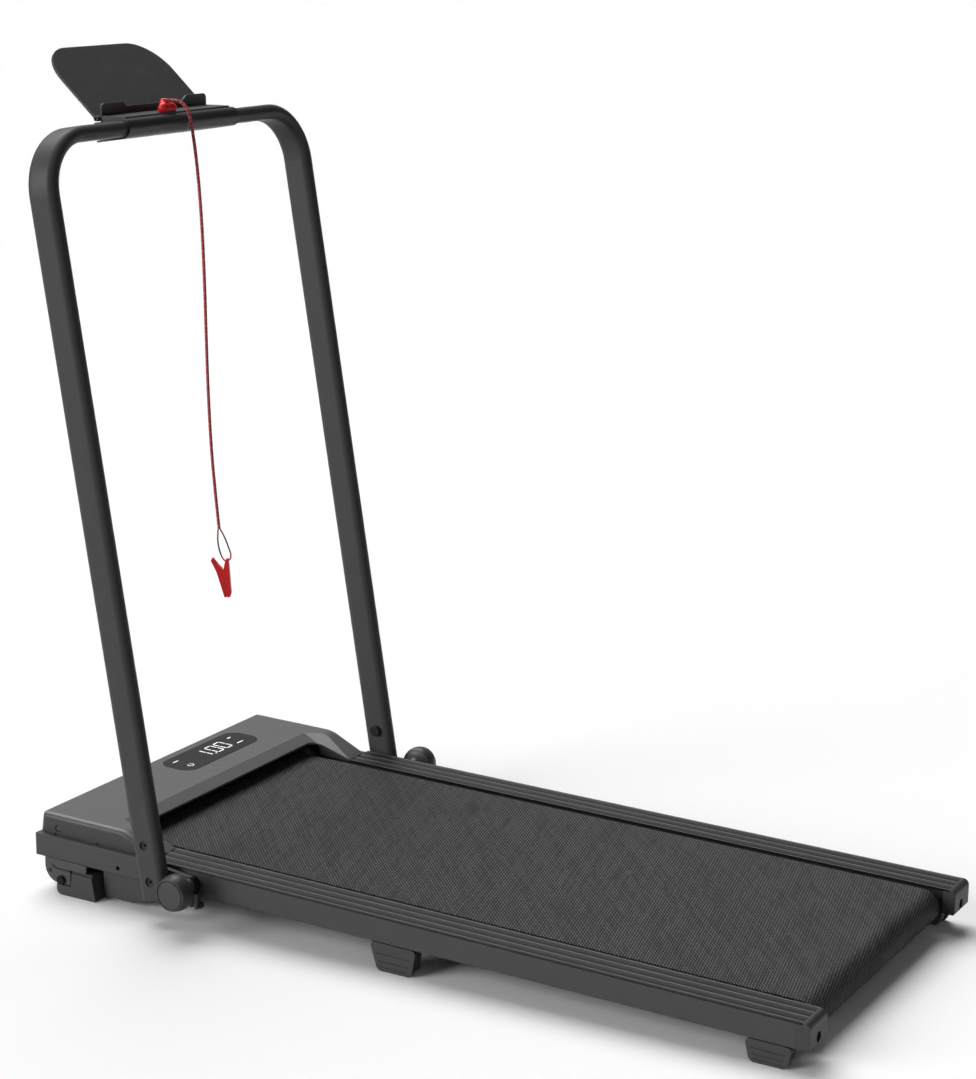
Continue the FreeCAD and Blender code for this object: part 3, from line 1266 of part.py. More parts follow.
def all_pieces():
    """Every piece in its place, the origin on the floor under the middle of the whole."""
    pieces = deck_pieces()
    pieces.update(rail_pieces())
    box = FreeCAD.BoundBox()
    for name, shape in pieces.items():
        if name not in HANGING:
            box.add(shape.BoundBox)
    shift = V(-box.Center.x, -box.Center.y, -box.ZMin)
    for shape in pieces.values():
        shape.translate(shift)
    return pieces, shift


def write():
    os.makedirs("parts", exist_ok=True)
    pieces, shift = all_pieces()
    for name, shape in pieces.items():
        shape.exportStep("parts/" + name + ".step")
    print(len(pieces), "pieces, moved by", shift)


write()
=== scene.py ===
import json
import math

import bpy
import numpy as np
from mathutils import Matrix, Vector


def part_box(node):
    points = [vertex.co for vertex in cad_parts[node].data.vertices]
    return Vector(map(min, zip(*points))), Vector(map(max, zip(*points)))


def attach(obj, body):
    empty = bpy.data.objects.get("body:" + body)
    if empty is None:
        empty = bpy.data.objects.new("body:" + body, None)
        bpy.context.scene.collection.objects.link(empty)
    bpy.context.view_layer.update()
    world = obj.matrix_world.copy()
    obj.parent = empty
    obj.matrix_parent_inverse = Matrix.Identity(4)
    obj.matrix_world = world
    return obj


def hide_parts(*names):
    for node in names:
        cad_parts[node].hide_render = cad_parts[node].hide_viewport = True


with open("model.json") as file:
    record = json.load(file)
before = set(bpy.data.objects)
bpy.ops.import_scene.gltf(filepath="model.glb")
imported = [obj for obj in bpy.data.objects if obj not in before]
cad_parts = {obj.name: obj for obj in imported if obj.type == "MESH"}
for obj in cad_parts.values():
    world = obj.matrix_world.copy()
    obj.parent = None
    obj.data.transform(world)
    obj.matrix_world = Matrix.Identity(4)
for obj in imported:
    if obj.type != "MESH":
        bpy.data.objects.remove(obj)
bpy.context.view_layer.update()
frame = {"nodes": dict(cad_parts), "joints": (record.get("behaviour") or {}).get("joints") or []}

bl_info = {
    "name": "Walking pad",
    "version": (1, 0, 0),
    "blender": (4, 5, 0),
    "location": "View3D > Sidebar > Walking pad",
    "description": "Finishes the surfaces of a walking pad with a folding handrail on its frame",
    "category": "Object",
}

FULL_TURN = 2 * math.pi

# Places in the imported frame, worked out from its joints. Lengths in metres.
JOINTS = {joint["name"]: joint for joint in frame["joints"]}
FRONT_ROLLER = np.array(JOINTS["front_roller_spin"]["pos_m"])
REAR_ROLLER = np.array(JOINTS["rear_roller_spin"]["pos_m"])
ALONG = (REAR_ROLLER - FRONT_ROLLER) / np.linalg.norm(REAR_ROLLER - FRONT_ROLLER)
ACROSS = np.array([0.0, 1.0, 0.0])
UP = np.cross(ALONG, ACROSS)

# Studio: camera frame, floor, the pale wall far behind it, and the lights. A sun has its place, its
# aim and the degrees that it covers, the panel behind its width and height.
SENSOR_HEIGHT = 36.0
FLOOR_HALF = 45.0
FLOOR_LINES = 10
WALL_RADIUS = 0.98 * FLOOR_HALF
WALL_HEIGHT = 18.0
WALL_SIDES = 64
WALL_ROWS = 5
SUNS = {"overhead": ((-2.1, 1.4, 4.0), (0.0, 0.0, 0.0), 50),
        "side": ((-2.0, -2.8, 1.35), (0.0, 0.0, 0.2), 36),
        "fill": ((3.0, -2.6, 1.8), (0.0, 0.0, 0.2), 60)}
BACK_PLACE = (-2.2, 4.2, 2.1)
BACK_AIM = (0.0, 0.0, 0.3)
BACK_SIZE = (6.0, 2.0)

# Angle in degrees above which an edge is shaded sharp
CREASE = 35.0
CORD_CREASE = 60.0

# Belt cloth: its strip, the points of its path, the slant of its two sets of threads, the valleys
# between them, which are painted shade, and the lighter and darker lengths of thread with the
# threads that one crosses
BELT_THICK = 0.0015
BELT_EDGE = 0.00045
RUN_POINTS = 90
BEND_POINTS = 29
THREAD_TURNS = (math.radians(14), math.radians(45))
THREAD_VALLEY = (0.012, 0.125)
THREAD_TONES = (0.74, 1.26)
THREAD_RUN = 7

# Marks on the display panel, measured from its middle: towards the rear, then towards the far side.
# A digit's place comes with its lit segments, which are short by shares of a stroke's width.
PANEL_THICK = 0.0018
MARK_THICK = 0.0001
DIGIT_ROW = -0.0015
DIGITS = {-0.0160: "bc", 0.0095: "abcdef", 0.0295: "abcdef"}
BAR_SHORT = 0.7
UPRIGHT_SHORT = 0.5
POINT_PLACE = -0.0025
POINT_RADIUS = 0.0008
POINT_WIDTH = 0.0012
POINT_PIECES = 10
RING_PLACE = (0.0110, -0.0614)
RING_RADIUS = 0.0042
RING_WIDTH = 0.0011
RING_ENDS = (math.radians(205), math.radians(515))
RING_PIECES = 20
DASHES = {(-0.0140, -0.0630): 0.012, (-0.0124, 0.0590): 0.009, (0.0108, 0.0540): 0.014}
LIT_STRENGTH = 0.9

# Rubber caps on the fold stops, and screws and dark strips on the wheel brackets, from their upper
# front corners. The strips are painted shadow in the slots under the brackets' tabs.
TURNED_SIDES = 28
DOME_POINTS = 9
DOME_END = 0.94
STOP_EAR = 0.008
STOP_EAR_RISE = 0.6 * STOP_EAR
STOP_THICK = 0.004
CAP_WALL = 0.0006
SCREW_HEAD = 0.0052
SCREW_HEIGHT = SCREW_HEAD * 0.3
SCREW_SKIRT = SCREW_HEAD * 0.1
SCREW_AT = (0.0080, -0.0171)
SHADOW_STRIP_POINTS = 40
SHADOW_STRIP_START = 0.0125
SHADOW_STRIP_END = 0.0405
SHADOW_STRIP_LEVEL = -0.0122
SHADOW_STRIP_HOOK = 0.0035
SHADOW_STRIP_BELL = 0.10
SHADOW_STRIP_WIDTH = 0.0028
SHADOW_STRIP_FLAT = 0.8
SHADOW_STRIP_THICK = 0.0006

# Dark strips beside the belt, as painted shade in the slits there, above the line through the
# rollers' axes
SLIT_STRIP_POINTS = 24
SLIT_STRIP_RISE = 0.006
SLIT_STRIP_THICK = 0.0012
SLIT_STRIP_GAP = 0.0004

# Paint and moulded plastic: mottling against grain, tones of the grain and its depth, edges
# lightened by wear and painted highlight, and how far roughness strays
BROAD_SHARE = 0.06
GRAIN_TONES = (0.86, 1.16)
GRAIN_DEPTH = 0.0004
WEAR_AND_HIGHLIGHT = (0.25, 0.85)
SMOOTHER = 0.05
ROUGHER = 0.06
COAT_ROUND = 0.0012

# Paint of the swing brackets, painted black behind their pivots as painted shadow behind the knobs
SHADOW_RAMP = 0.003
SHADOW_TONE = 0.05

# Grain of the motor cover, with painted shade on its side walls and a painted highlight on the
# rounded edges above them. Its faces are told apart by how far they lean sideways.
COVER_GRAIN = 1500.0
COVER_MOTTLE = 0.05
COVER_RELIEF = 0.16
COVER_ROUND = 0.0016
COVER_HIGHLIGHT_TONE = 2.5
COVER_HIGHLIGHT_LEAN = (0.18, 0.42)
COVER_SHADE_LEAN = (0.56, 0.82)
COVER_SHADE_TONES = (0.38, 0.52)

# Ridges of the treads, from their inner edges
RIDGES = 3
RIDGE_WIDTH = 0.0014
TREAD_LIP = 0.0048
TREAD_STREAKS = (0.02, 1, 1)

# Stretch of the marks on turned steel, the handrail's grain and the running board's fibres, and the
# colours of the running board and the circuit board
TURNED_MARKS = (1, 0.05, 1)
RAIL_GRAIN = (1, 1, 0.35)
BOARD_FIBRES = (4, 60, 60)
BOARD_DARK = (0.010, 0.009, 0.009)
BOARD_LIGHT = (0.028, 0.025, 0.023)
CIRCUIT_GREEN = (0.02, 0.12, 0.05)

# Cords: spline of their lines, strands round one, the dark thread's place and reach as shares of
# the loop's length, size of the ends in UVs, and the directions their sides are reckoned from
SPLINE_STEPS = 64
SPLINE_ORDER = 3
STRANDS = 8
THREAD_AT = 0.26
THREAD_REACH = (0.11, 0.15)
END_UV = 0.1
LANYARD_SIDE = (0.76, -0.65, 0.0)
LOOP_SIDE = (-0.5075, 0.8616, 0.0)

# Routes of the lanyard and of its loop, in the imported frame
LANYARD_ROUTE = [
    (-0.4489, -0.0145, 1.0100), (-0.4394, -0.0045, 1.0110), (-0.4284, -0.0005, 1.0020),
    (-0.4242, 0.0015, 0.9865), (-0.4239, 0.0060, 0.9645), (-0.4239, 0.0120, 0.9285),
    (-0.4239, 0.0180, 0.8705), (-0.4239, 0.0215, 0.7855), (-0.4239, 0.0220, 0.6455),
    (-0.4239, 0.0260, 0.5505), (-0.4239, 0.0325, 0.4885), (-0.4239, 0.0390, 0.4365)]
LOOP_ROUTE = [
    (-0.4249, 0.0384, 0.4365), (-0.4269, 0.0372, 0.4195), (-0.4209, 0.0408, 0.3920),
    (-0.4131, 0.0453, 0.3915), (-0.4101, 0.0471, 0.3985), (-0.4140, 0.0448, 0.4125),
    (-0.4179, 0.0426, 0.4255), (-0.4229, 0.0396, 0.4365)]


# Settings

def colour(name, description, default):
    return bpy.props.FloatVectorProperty(name=name, description=description, default=default,
                                         size=3, min=0, max=1, subtype="COLOR")


def length(name, description, default):
    return bpy.props.FloatProperty(name=name, description=description, default=default,
                                   min=0, unit="LENGTH", precision=4)


def amount(name, description, default):
    return bpy.props.FloatProperty(name=name, description=description, default=default, min=0)


def angle(name, description, default):
    return bpy.props.FloatProperty(name=name, description=description,
                                   default=math.radians(default), subtype="ANGLE")


class PadColours(bpy.types.PropertyGroup):
    """Colours of the walking pad's finishes."""
    frame: colour("Frame", "Powder coat of the side tubes and brackets", (0.052, 0.052, 0.054))
    rail: colour("Handrail", "Powder coat of the handrail", (0.064, 0.064, 0.066))
    tread: colour("Treads", "Fluted strips on the side tubes", (0.013, 0.013, 0.0135))
    # Ridge colour: wear with painted highlight on the crowns.
    ridge_wear_and_highlight: colour("Tread ridges", "Ridges between the flutes", (0.180, 0.180, 0.184))
    cap: colour("End caps", "Rear caps of the side tubes", (0.045, 0.045, 0.047))
    cover: colour("Cover", "Grained plastic of the motor cover", (0.090, 0.090, 0.092))
    panel: colour("Panel", "Gloss display panel", (0.007, 0.007, 0.008))
    digits: colour("Digits", "Lit marks on the panel", (0.78, 0.80, 0.82))
    # Painted shade: the valley colour is near black so that the weave's valleys look shaded.
    belt_valley_shade: colour("Belt ground", "Valleys of the belt's weave", (0.004, 0.004, 0.0045))
    belt_light: colour("Belt crowns", "Crowns of the belt's weave", (0.105, 0.105, 0.108))
    rubber: colour("Rubber", "Feet and other rubber", (0.052, 0.052, 0.054))
    knob: colour("Knobs", "Clamp knobs and wheels", (0.052, 0.052, 0.054))
    holder: colour("Holder", "Tablet holder", (0.022, 0.022, 0.0235))
    red: colour("Red plastic", "Safety key and clip", (0.88, 0.016, 0.018))
    cord: colour("Lanyard", "Light strands of the lanyard", (0.86, 0.330, 0.315))
    cord_dark: colour("Lanyard shade", "Dark strands of the lanyard", (0.66, 0.025, 0.028))
    thread: colour("Loop thread", "Dark sides of the thin loop", (0.020, 0.030, 0.034))
    steel: colour("Steel", "Plated steel parts", (0.55, 0.55, 0.56))


class PadSizes(bpy.types.PropertyGroup):
    """Sizes of the finishes and of the pieces made here."""
    weave: length("Weave pitch", "Spacing of the belt's threads", 0.0035)
    cord: length("Lanyard diameter", "Outside of the braided cord", 0.0044)
    loop: length("Loop diameter", "Outside of the thin loop", 0.0022)
    braid: length("Braid pitch", "Length of one turn of a strand", 0.0110)
    digit_height: length("Digit height", "Height of the digits on the panel", 0.0250)
    digit_width: length("Digit width", "Width of the digits on the panel", 0.0135)
    stroke: length("Digit stroke", "Width of a digit's strokes", 0.0019)


class StageSettings(bpy.types.PropertyGroup):
    """Camera, floor and lights."""
    camera_x: length("Camera x", "Camera place along the deck", 1.581012)
    camera_y: bpy.props.FloatProperty(name="Camera y", description="Camera place across the deck",
                                      default=-2.65257, unit="LENGTH")
    camera_z: length("Camera z", "Camera height", 1.25257)
    yaw: angle("Yaw", "Camera's turn about the upright axis", 30.47)
    pitch: angle("Pitch", "Camera's tilt from level", -13.99)
    lens: bpy.props.FloatProperty(name="Lens", description="Focal length on a frame 36 mm high",
                                  default=84.866, unit="CAMERA")
    overhead: amount("Overhead light", "Strength of the broad light from above", 2.65)
    side: amount("Side light", "Strength of the light from the near side", 2.2)
    fill: amount("Fill light", "Strength of the weak light from the camera's side", 0.3)
    back: amount("Back light", "Power of the panel behind, seen as gloss on level faces", 11.0)
    world: amount("World light", "Strength of the even light all round", 0.05)
    floor: amount("Floor tone", "Lightness of the floor", 0.98)


# Places

def box(node):
    """Lowest and highest corner of a CAD node, as arrays."""
    return [np.array(corner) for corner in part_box(node)]


def both_sides(*names):
    """The same names with the endings of the left and the right piece."""
    return [name + side for name in names for side in ("_left", "_right")]


def on_panel(points):
    """Panel coordinates (rearward, sideways, above its face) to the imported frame."""
    low, high = box("display_panel")
    points = np.asarray(points, float)
    top = (low + high) / 2 + UP * PANEL_THICK / 2
    return top + points[..., :1] * ALONG + points[..., 1:2] * ACROSS + points[..., 2:] * UP


# Meshes

def grid_faces(rows, columns, round_rows=False, round_columns=False):
    """Quads between neighbours of a grid, and their (row, column) steps before any wrap."""
    i, j = np.meshgrid(np.arange(rows if round_rows else rows - 1),
                       np.arange(columns if round_columns else columns - 1), indexing="ij")
    steps = np.stack([i, i + 1, i + 1, i, j, j, j + 1, j + 1], -1).reshape(-1, 2, 4)
    faces = (steps[:, 0] % rows) * columns + steps[:, 1] % columns
    return faces, steps


def add_object(name, points, faces, uv=None, crease=CREASE):
    """Mesh object at the origin, smooth except across edges sharper than the crease angle."""
    mesh = bpy.data.meshes.new(name)
    mesh.from_pydata(np.asarray(points).reshape(-1, 3).tolist(), [], [list(f) for f in faces])
    if uv is not None:
        layer = mesh.uv_layers.new(name="UVMap")
        layer.data.foreach_set("uv", np.asarray(uv, np.float32).ravel())
    mesh.polygons.foreach_set("use_smooth", np.ones(len(mesh.polygons), bool))
    mesh.update()
    mesh.set_sharp_from_angle(angle=math.radians(crease))
    piece = bpy.data.objects.new(name, mesh)
    bpy.context.scene.collection.objects.link(piece)
    return piece


def surface(name, grid, u, v, round_rows=False, round_columns=False):
    """Grid of points as a mesh, with UVs from one value per row and one per column.
    A grid that is closed in a direction has one value more than it has points there."""
    rows, columns = grid.shape[:2]
    faces, steps = grid_faces(rows, columns, round_rows, round_columns)
    uv = np.stack([u[steps[:, 0]], v[steps[:, 1]]], -1)
    return add_object(name, grid, faces, uv)


def unit(vectors):
    """The same directions with a length of 1."""
    return vectors / np.linalg.norm(vectors, axis=-1, keepdims=True)


# Materials

def tint(base, factor):
    """Base colour made lighter or darker, at most white."""
    return tuple(min(1.0, c * factor) for c in base)


def shade(base, factor=1.0):
    """The same with an alpha of 1, as colour sockets take it."""
    return (*tint(base, factor), 1.0)


class Nodes:
    """Node tree of one material, with short calls to add and join nodes."""

    def __init__(self, name):
        self.material = bpy.data.materials.new(name)
        self.material.use_nodes = True
        self.tree = self.material.node_tree
        self.shader = self.tree.nodes["Principled BSDF"]

    def add(self, kind, settings=None, **inputs):
        node = self.tree.nodes.new(kind)
        for key, value in (settings or {}).items():
            setattr(node, key, value)
        for key, value in inputs.items():
            self.feed(node.inputs[key.replace("_", " ")], value)
        return node

    def feed(self, socket, value):
        if isinstance(value, bpy.types.NodeSocket):
            self.tree.links.new(value, socket)
        else:
            socket.default_value = value

    def coords(self, scale=(1, 1, 1), source="Object"):
        where = self.add("ShaderNodeTexCoord").outputs[source]
        return self.add("ShaderNodeMapping", Vector=where, Scale=scale).outputs["Vector"]

    def axis(self, vector, name):
        return self.add("ShaderNodeSeparateXYZ", Vector=vector).outputs[name]

    def facing(self):
        return self.add("ShaderNodeNewGeometry").outputs["Normal"]

    def noise(self, vector, scale, detail=3.0, rough=0.55):
        return self.add("ShaderNodeTexNoise", Vector=vector, Scale=scale, Detail=detail,
                        Roughness=rough).outputs["Fac"]

    def spread(self, value, low, high, start=0.3, end=0.7):
        """From low to high while the value goes from start to end, by default a noise's middle."""
        return self.add("ShaderNodeMapRange", Value=value, From_Min=start, From_Max=end,
                        To_Min=low, To_Max=high).outputs["Result"]

    def math(self, operation, a, b=0.0):
        node = self.add("ShaderNodeMath", {"operation": operation})
        self.feed(node.inputs[0], a)
        self.feed(node.inputs[1], b)
        return node.outputs[0]

    def vector(self, operation, a, b=(0.0, 0.0, 0.0)):
        node = self.add("ShaderNodeVectorMath", {"operation": operation})
        self.feed(node.inputs[0], a)
        self.feed(node.inputs[1], b)
        return node.outputs["Value" if operation == "DOT_PRODUCT" else "Vector"]

    def mix(self, factor, low, high):
        node = self.add("ShaderNodeMix", {"data_type": "RGBA"})
        sockets = (node.inputs[0], node.inputs[6], node.inputs[7])
        for socket, value in zip(sockets, (factor, low, high)):
            self.feed(socket, value)
        return node.outputs[2]

    def shades(self, value, base, low, high):
        """Base colour from one shade of itself to another, by a noise."""
        return self.mix(self.spread(value, 0.0, 1.0), shade(base, low), shade(base, high))

    def varied(self, level, value, low, high, start=0.3, end=0.7):
        """Level times a factor that is spread from low to high."""
        return self.math("MULTIPLY", level, self.spread(value, low, high, start, end))

    def distance(self, value, place):
        """How far a value is from a place, either way."""
        return self.math("ABSOLUTE", self.math("SUBTRACT", value, place))

    def edges(self, radius):
        """Normal rounded over sharp edges, and a mask that is 1 on those edges."""
        soft = self.add("ShaderNodeBevel", {"samples": 4}, Radius=radius).outputs["Normal"]
        turn = self.vector("DOT_PRODUCT", soft, self.facing())
        return soft, self.spread(turn, 1.0, 0.0, start=0.75, end=0.98)

    def bump(self, height, strength, distance, normal=None):
        node = self.add("ShaderNodeBump", Height=height, Strength=strength, Distance=distance)
        if normal is not None:
            self.feed(node.inputs["Normal"], normal)
        return node.outputs["Normal"]

    def finish(self, base, rough, normal, **constants):
        self.feed(self.shader.inputs["Base Color"], base)
        self.feed(self.shader.inputs["Roughness"], rough)
        self.feed(self.shader.inputs["Normal"], normal)
        for key, value in constants.items():
            self.shader.inputs[key.replace("_", " ")].default_value = value
        return self.material


def skin(n, base, grain, mottle, radius, stretch=(1, 1, 1)):
    """What paint and moulded plastic share: two noises, the normal with rounded edges, a mottled
    tone with grain, and a mask of edges that are lightened as wear and painted highlight."""
    where = n.coords(stretch)
    broad = n.noise(where, grain * BROAD_SHARE, detail=4.0)
    fine = n.noise(where, grain, detail=2.0, rough=0.6)
    normal, rim = n.edges(radius)
    mottled = n.shades(broad, base, 1 - mottle, 1 + mottle)
    tone = n.mix(0.5, mottled, n.shades(fine, base, *GRAIN_TONES))
    return broad, fine, normal, tone, n.varied(rim, broad, *WEAR_AND_HIGHLIGHT)


def coat(name, base, rough, grain=900.0, relief=0.12, mottle=0.10, edge=1.6, stretch=(1, 1, 1),
         specular=0.4, shadow_from=None):
    """Paint or moulded plastic: faint mottling, fine grain and slightly brighter edges, as wear and
    painted highlight. It can turn black rearwards of a place along the deck, as painted shadow."""
    n = Nodes(name)
    broad, fine, normal, tone, wear_and_highlight = skin(n, base, grain, mottle, COAT_ROUND, stretch)
    # Wear with painted highlight: sharp edges lighter by the edge factor.
    tone = n.mix(wear_and_highlight, tone, shade(base, edge))
    # Painted shadow: black rearwards of the given place.
    if shadow_from is not None:
        place = n.axis(n.coords(), "X")
        black = n.spread(place, 0.0, 1.0, shadow_from, shadow_from + SHADOW_RAMP)
        tone = n.mix(black, tone, shade(base, SHADOW_TONE))
    return n.finish(tone, n.spread(broad, rough - SMOOTHER, rough + ROUGHER),
                    n.bump(fine, relief, GRAIN_DEPTH, normal), Specular_IOR_Level=specular)


def grained_with_painted_light(name, base, rough):
    """Moulded cover: fine grain all over, side walls darkened as painted shade, and the rounded
    edges above them lightened as painted highlight."""
    n = Nodes(name)
    broad, fine, normal, tone, wear_and_highlight = skin(n, base, COVER_GRAIN, COVER_MOTTLE, COVER_ROUND)
    lean = n.math("ABSOLUTE", n.axis(n.facing(), "Y"))
    # Painted highlight: the rounded edges between top and side walls are made lighter.
    painted_highlight = n.varied(n.spread(lean, 0.0, 0.8, *COVER_HIGHLIGHT_LEAN), broad, 0.6, 1.0)
    tone = n.mix(n.math("MAXIMUM", wear_and_highlight, painted_highlight), tone, shade(base, COVER_HIGHLIGHT_TONE))
    # Painted shade: the side walls are made darker.
    wall = n.spread(lean, 0.0, 1.0, *COVER_SHADE_LEAN)
    tone = n.mix(wall, tone, n.shades(fine, base, *COVER_SHADE_TONES))
    return n.finish(tone, n.spread(broad, rough - SMOOTHER, rough + ROUGHER),
                    n.bump(fine, COVER_RELIEF, GRAIN_DEPTH, normal), Specular_IOR_Level=0.4)


def ribbed(name, base, ridge_wear_and_highlight):
    """Drawn plastic strip: dull flutes streaked along their length, ridges lightened by wear and
    painted highlight, and painted shade on the wall towards the belt."""
    n = Nodes(name)
    streak = n.noise(n.coords(TREAD_STREAKS), 900.0)
    broad = n.noise(n.coords(), 30.0)
    where = n.axis(n.coords(), "Y")
    low, high = box("tread_right")
    pitch = (high[1] - low[1] - TREAD_LIP) / RIDGES
    share = float(RIDGE_WIDTH / pitch)
    inside = n.math("SUBTRACT", n.math("ABSOLUTE", where), float(low[1]))
    across = n.math("ADD", n.math("DIVIDE", inside, float(pitch)), share)
    off = n.distance(n.math("FRACT", across), 1.5 * share)
    crown = n.spread(off, 1.0, 0.0, start=0.25 * share, end=0.9 * share)
    tone = n.shades(streak, base, 0.78, 1.25)
    # Lighter ridge crowns: wear and painted highlight.
    tone = n.mix(n.varied(crown, broad, 0.75, 1.0), tone, shade(ridge_wear_and_highlight))
    # Painted shade: walls that face the belt are darkened.
    inward = n.math("MULTIPLY", n.axis(n.facing(), "Y"), n.math("SIGN", where))
    tone = n.mix(n.spread(inward, 1.0, 0.0, start=-0.8, end=-0.5), tone, shade(base, 0.15))
    normal = n.edges(0.0008)[0]
    return n.finish(tone, n.spread(streak, 0.48, 0.60),
                    n.bump(streak, strength=0.10, distance=0.0003, normal=normal),
                    Specular_IOR_Level=0.2)


def weave(name, dark, light, pitch):
    """Belt cloth: two slanting sets of threads with valleys between them darkened as painted shade,
    so that raised lozenges are left, and short lengths of thread a little lighter or darker than
    the next."""
    n = Nodes(name)
    where = n.coords(source="UV")
    slants = [(math.cos(turn), math.sin(turn), 0.0) for turn in THREAD_TURNS]
    places = [n.math("DIVIDE", n.vector("DOT_PRODUCT", where, slant), pitch) for slant in slants]
    crowns = [n.math("PINGPONG", place, 0.5) for place in places]
    # Painted shade: the valleys between the threads go dark.
    threads = n.spread(n.math("MULTIPLY", *crowns), 0.0, 1.0, *THREAD_VALLEY)
    level = threads
    for shares in ((1.0, 1 / THREAD_RUN), (1 / THREAD_RUN, 1.0)):
        x, y = (n.math("MULTIPLY", place, share) for place, share in zip(places, shares))
        cell = n.vector("FLOOR", n.add("ShaderNodeCombineXYZ", X=x, Y=y).outputs["Vector"])
        knots = n.add("ShaderNodeTexWhiteNoise", Vector=cell).outputs["Value"]
        level = n.varied(level, knots, *THREAD_TONES, start=0.0, end=1.0)
    patch = n.noise(where, 22.0)
    fibre = n.noise(where, 2600.0, detail=2.0)
    level = n.varied(level, patch, 0.85, 1.12)
    level = n.varied(level, fibre, 0.8, 1.2)
    height = n.math("ADD", threads, n.math("MULTIPLY", fibre, 0.2))
    return n.finish(n.mix(level, shade(dark), shade(light)), n.spread(patch, 0.58, 0.70),
                    n.bump(height, strength=0.4, distance=0.0006), Specular_IOR_Level=0.2)


def braid(name, dark, light, pitch, thread=None, whole=1.0):
    """Braided cord: two sets of crossing strands and dark flecks, read from the cord's own UVs. A
    loop, given its whole length, can have a thread of another colour along the middle of each
    side."""
    n = Nodes(name)
    cells = n.coords((1 / pitch, 1, 1), source="UV")
    turns = n.axis(cells, "X")
    girth = n.axis(cells, "Y")
    along = n.math("MULTIPLY", turns, 2.0)
    around = n.math("MULTIPLY", girth, STRANDS / 2)
    rising = n.math("ADD", along, around)
    falling = n.math("SUBTRACT", along, around)
    crowns = [n.math("PINGPONG", n.math("FRACT", way), 0.5) for way in (rising, falling)]
    strands = n.math("MULTIPLY", *crowns)
    over = n.math("ADD", n.math("FLOOR", rising), n.math("MULTIPLY", along, 0.5))
    over = n.math("ROUND", n.math("FRACT", over))
    fibre = n.noise(n.coords(), 3000.0, detail=2.0)
    level = n.spread(strands, 0.0, 1.0, start=0.0, end=0.11)
    level = n.varied(level, over, 0.55, 1.0, start=0.0, end=1.0)
    level = n.varied(level, fibre, 0.7, 1.2)
    fleck = n.math("PINGPONG", n.math("ADD", along, girth), 0.5)
    tone = n.mix(level, shade(dark), shade(light))
    tone = n.mix(n.spread(fleck, 0.8, 0.0, start=0.06, end=0.22), tone, shade(dark, 0.25))
    if thread is not None:
        middle = n.distance(n.math("MULTIPLY", turns, pitch / whole), 0.5)
        reach = n.spread(n.distance(middle, THREAD_AT), 1.0, 0.0, *THREAD_REACH)
        tone = n.mix(reach, tone, n.mix(level, shade(thread, 0.4), shade(thread)))
    height = n.math("ADD", strands, n.math("MULTIPLY", fibre, 0.02))
    return n.finish(tone, n.spread(fibre, 0.6, 0.75),
                    n.bump(height, strength=0.5, distance=0.0006), Sheen_Weight=0.25)


def gloss(name, base, rough, clear, specular):
    """Smooth moulded plastic with a clear skin, faint flow marks, and edges lightened as painted
    highlight.
    """
    n = Nodes(name)
    where = n.coords()
    flow = n.noise(where, 60.0, detail=4.0)
    fine = n.noise(where, 1500.0, detail=2.0)
    normal, rim = n.edges(0.0008)
    tone = n.shades(flow, base, 0.85, 1.12)
    # Painted highlight: sharp edges made lighter.
    tone = n.mix(n.math("MULTIPLY", rim, 0.35), tone, shade(base, 1.5))
    return n.finish(tone, n.spread(flow, rough - 0.04, rough + 0.06),
                    n.bump(fine, strength=0.03, distance=0.0002, normal=normal),
                    Coat_Weight=clear, Coat_Roughness=0.12, Specular_IOR_Level=specular)


def metal(name, base, rough, stretch=(1, 1, 1)):
    """Plated or turned steel: fine brushing, uneven polish, and edges lightened as painted
    highlight.
    """
    n = Nodes(name)
    brushed = n.noise(n.coords(stretch), 700.0)
    broad = n.noise(n.coords(), 40.0)
    normal, rim = n.edges(0.0006)
    tone = n.shades(broad, base, 0.82, 1.1)
    # Painted highlight: sharp edges made lighter.
    tone = n.mix(n.math("MULTIPLY", rim, 0.4), tone, shade(base, 1.3))
    return n.finish(tone, n.spread(brushed, rough - 0.08, rough + 0.1),
                    n.bump(brushed, strength=0.08, distance=0.0003, normal=normal), Metallic=1.0)


def timber(name):
    """Pressed board stained black and waxed."""
    n = Nodes(name)
    fibre = n.noise(n.coords(BOARD_FIBRES), 12.0, detail=5.0)
    tone = n.mix(n.spread(fibre, 0.0, 1.0), shade(BOARD_DARK), shade(BOARD_LIGHT))
    return n.finish(tone, n.spread(fibre, 0.45, 0.6),
                    n.bump(fibre, strength=0.15, distance=0.0004))


def glow(name, base, strength):
    """Lit marks or a lit wall, a little uneven from end to end."""
    n = Nodes(name)
    broad = n.noise(n.coords(), 220.0, detail=2.0)
    tone = n.shades(broad, base, 0.85, 1.0)
    n.feed(n.shader.inputs["Emission Color"], tone)
    return n.finish(tone, n.spread(broad, 0.35, 0.45),
                    n.bump(broad, strength=0.02, distance=0.0001), Emission_Strength=strength)


def floor_finish(name, tone):
    """Pale studio floor with a barely seen unevenness."""
    n = Nodes(name)
    broad = n.noise(n.coords(), 1.3, detail=2.0)
    return n.finish(n.shades(broad, (tone, tone, tone), 0.99, 1.0), n.spread(broad, 0.85, 0.9),
                    n.bump(broad, strength=0.01, distance=0.001), Specular_IOR_Level=0.0)


def paint(material, *names):
    """Gives CAD nodes their finished material."""
    for name in names:
        node = frame["nodes"][name]
        node.data.materials.clear()
        node.data.materials.append(material)


# Forms

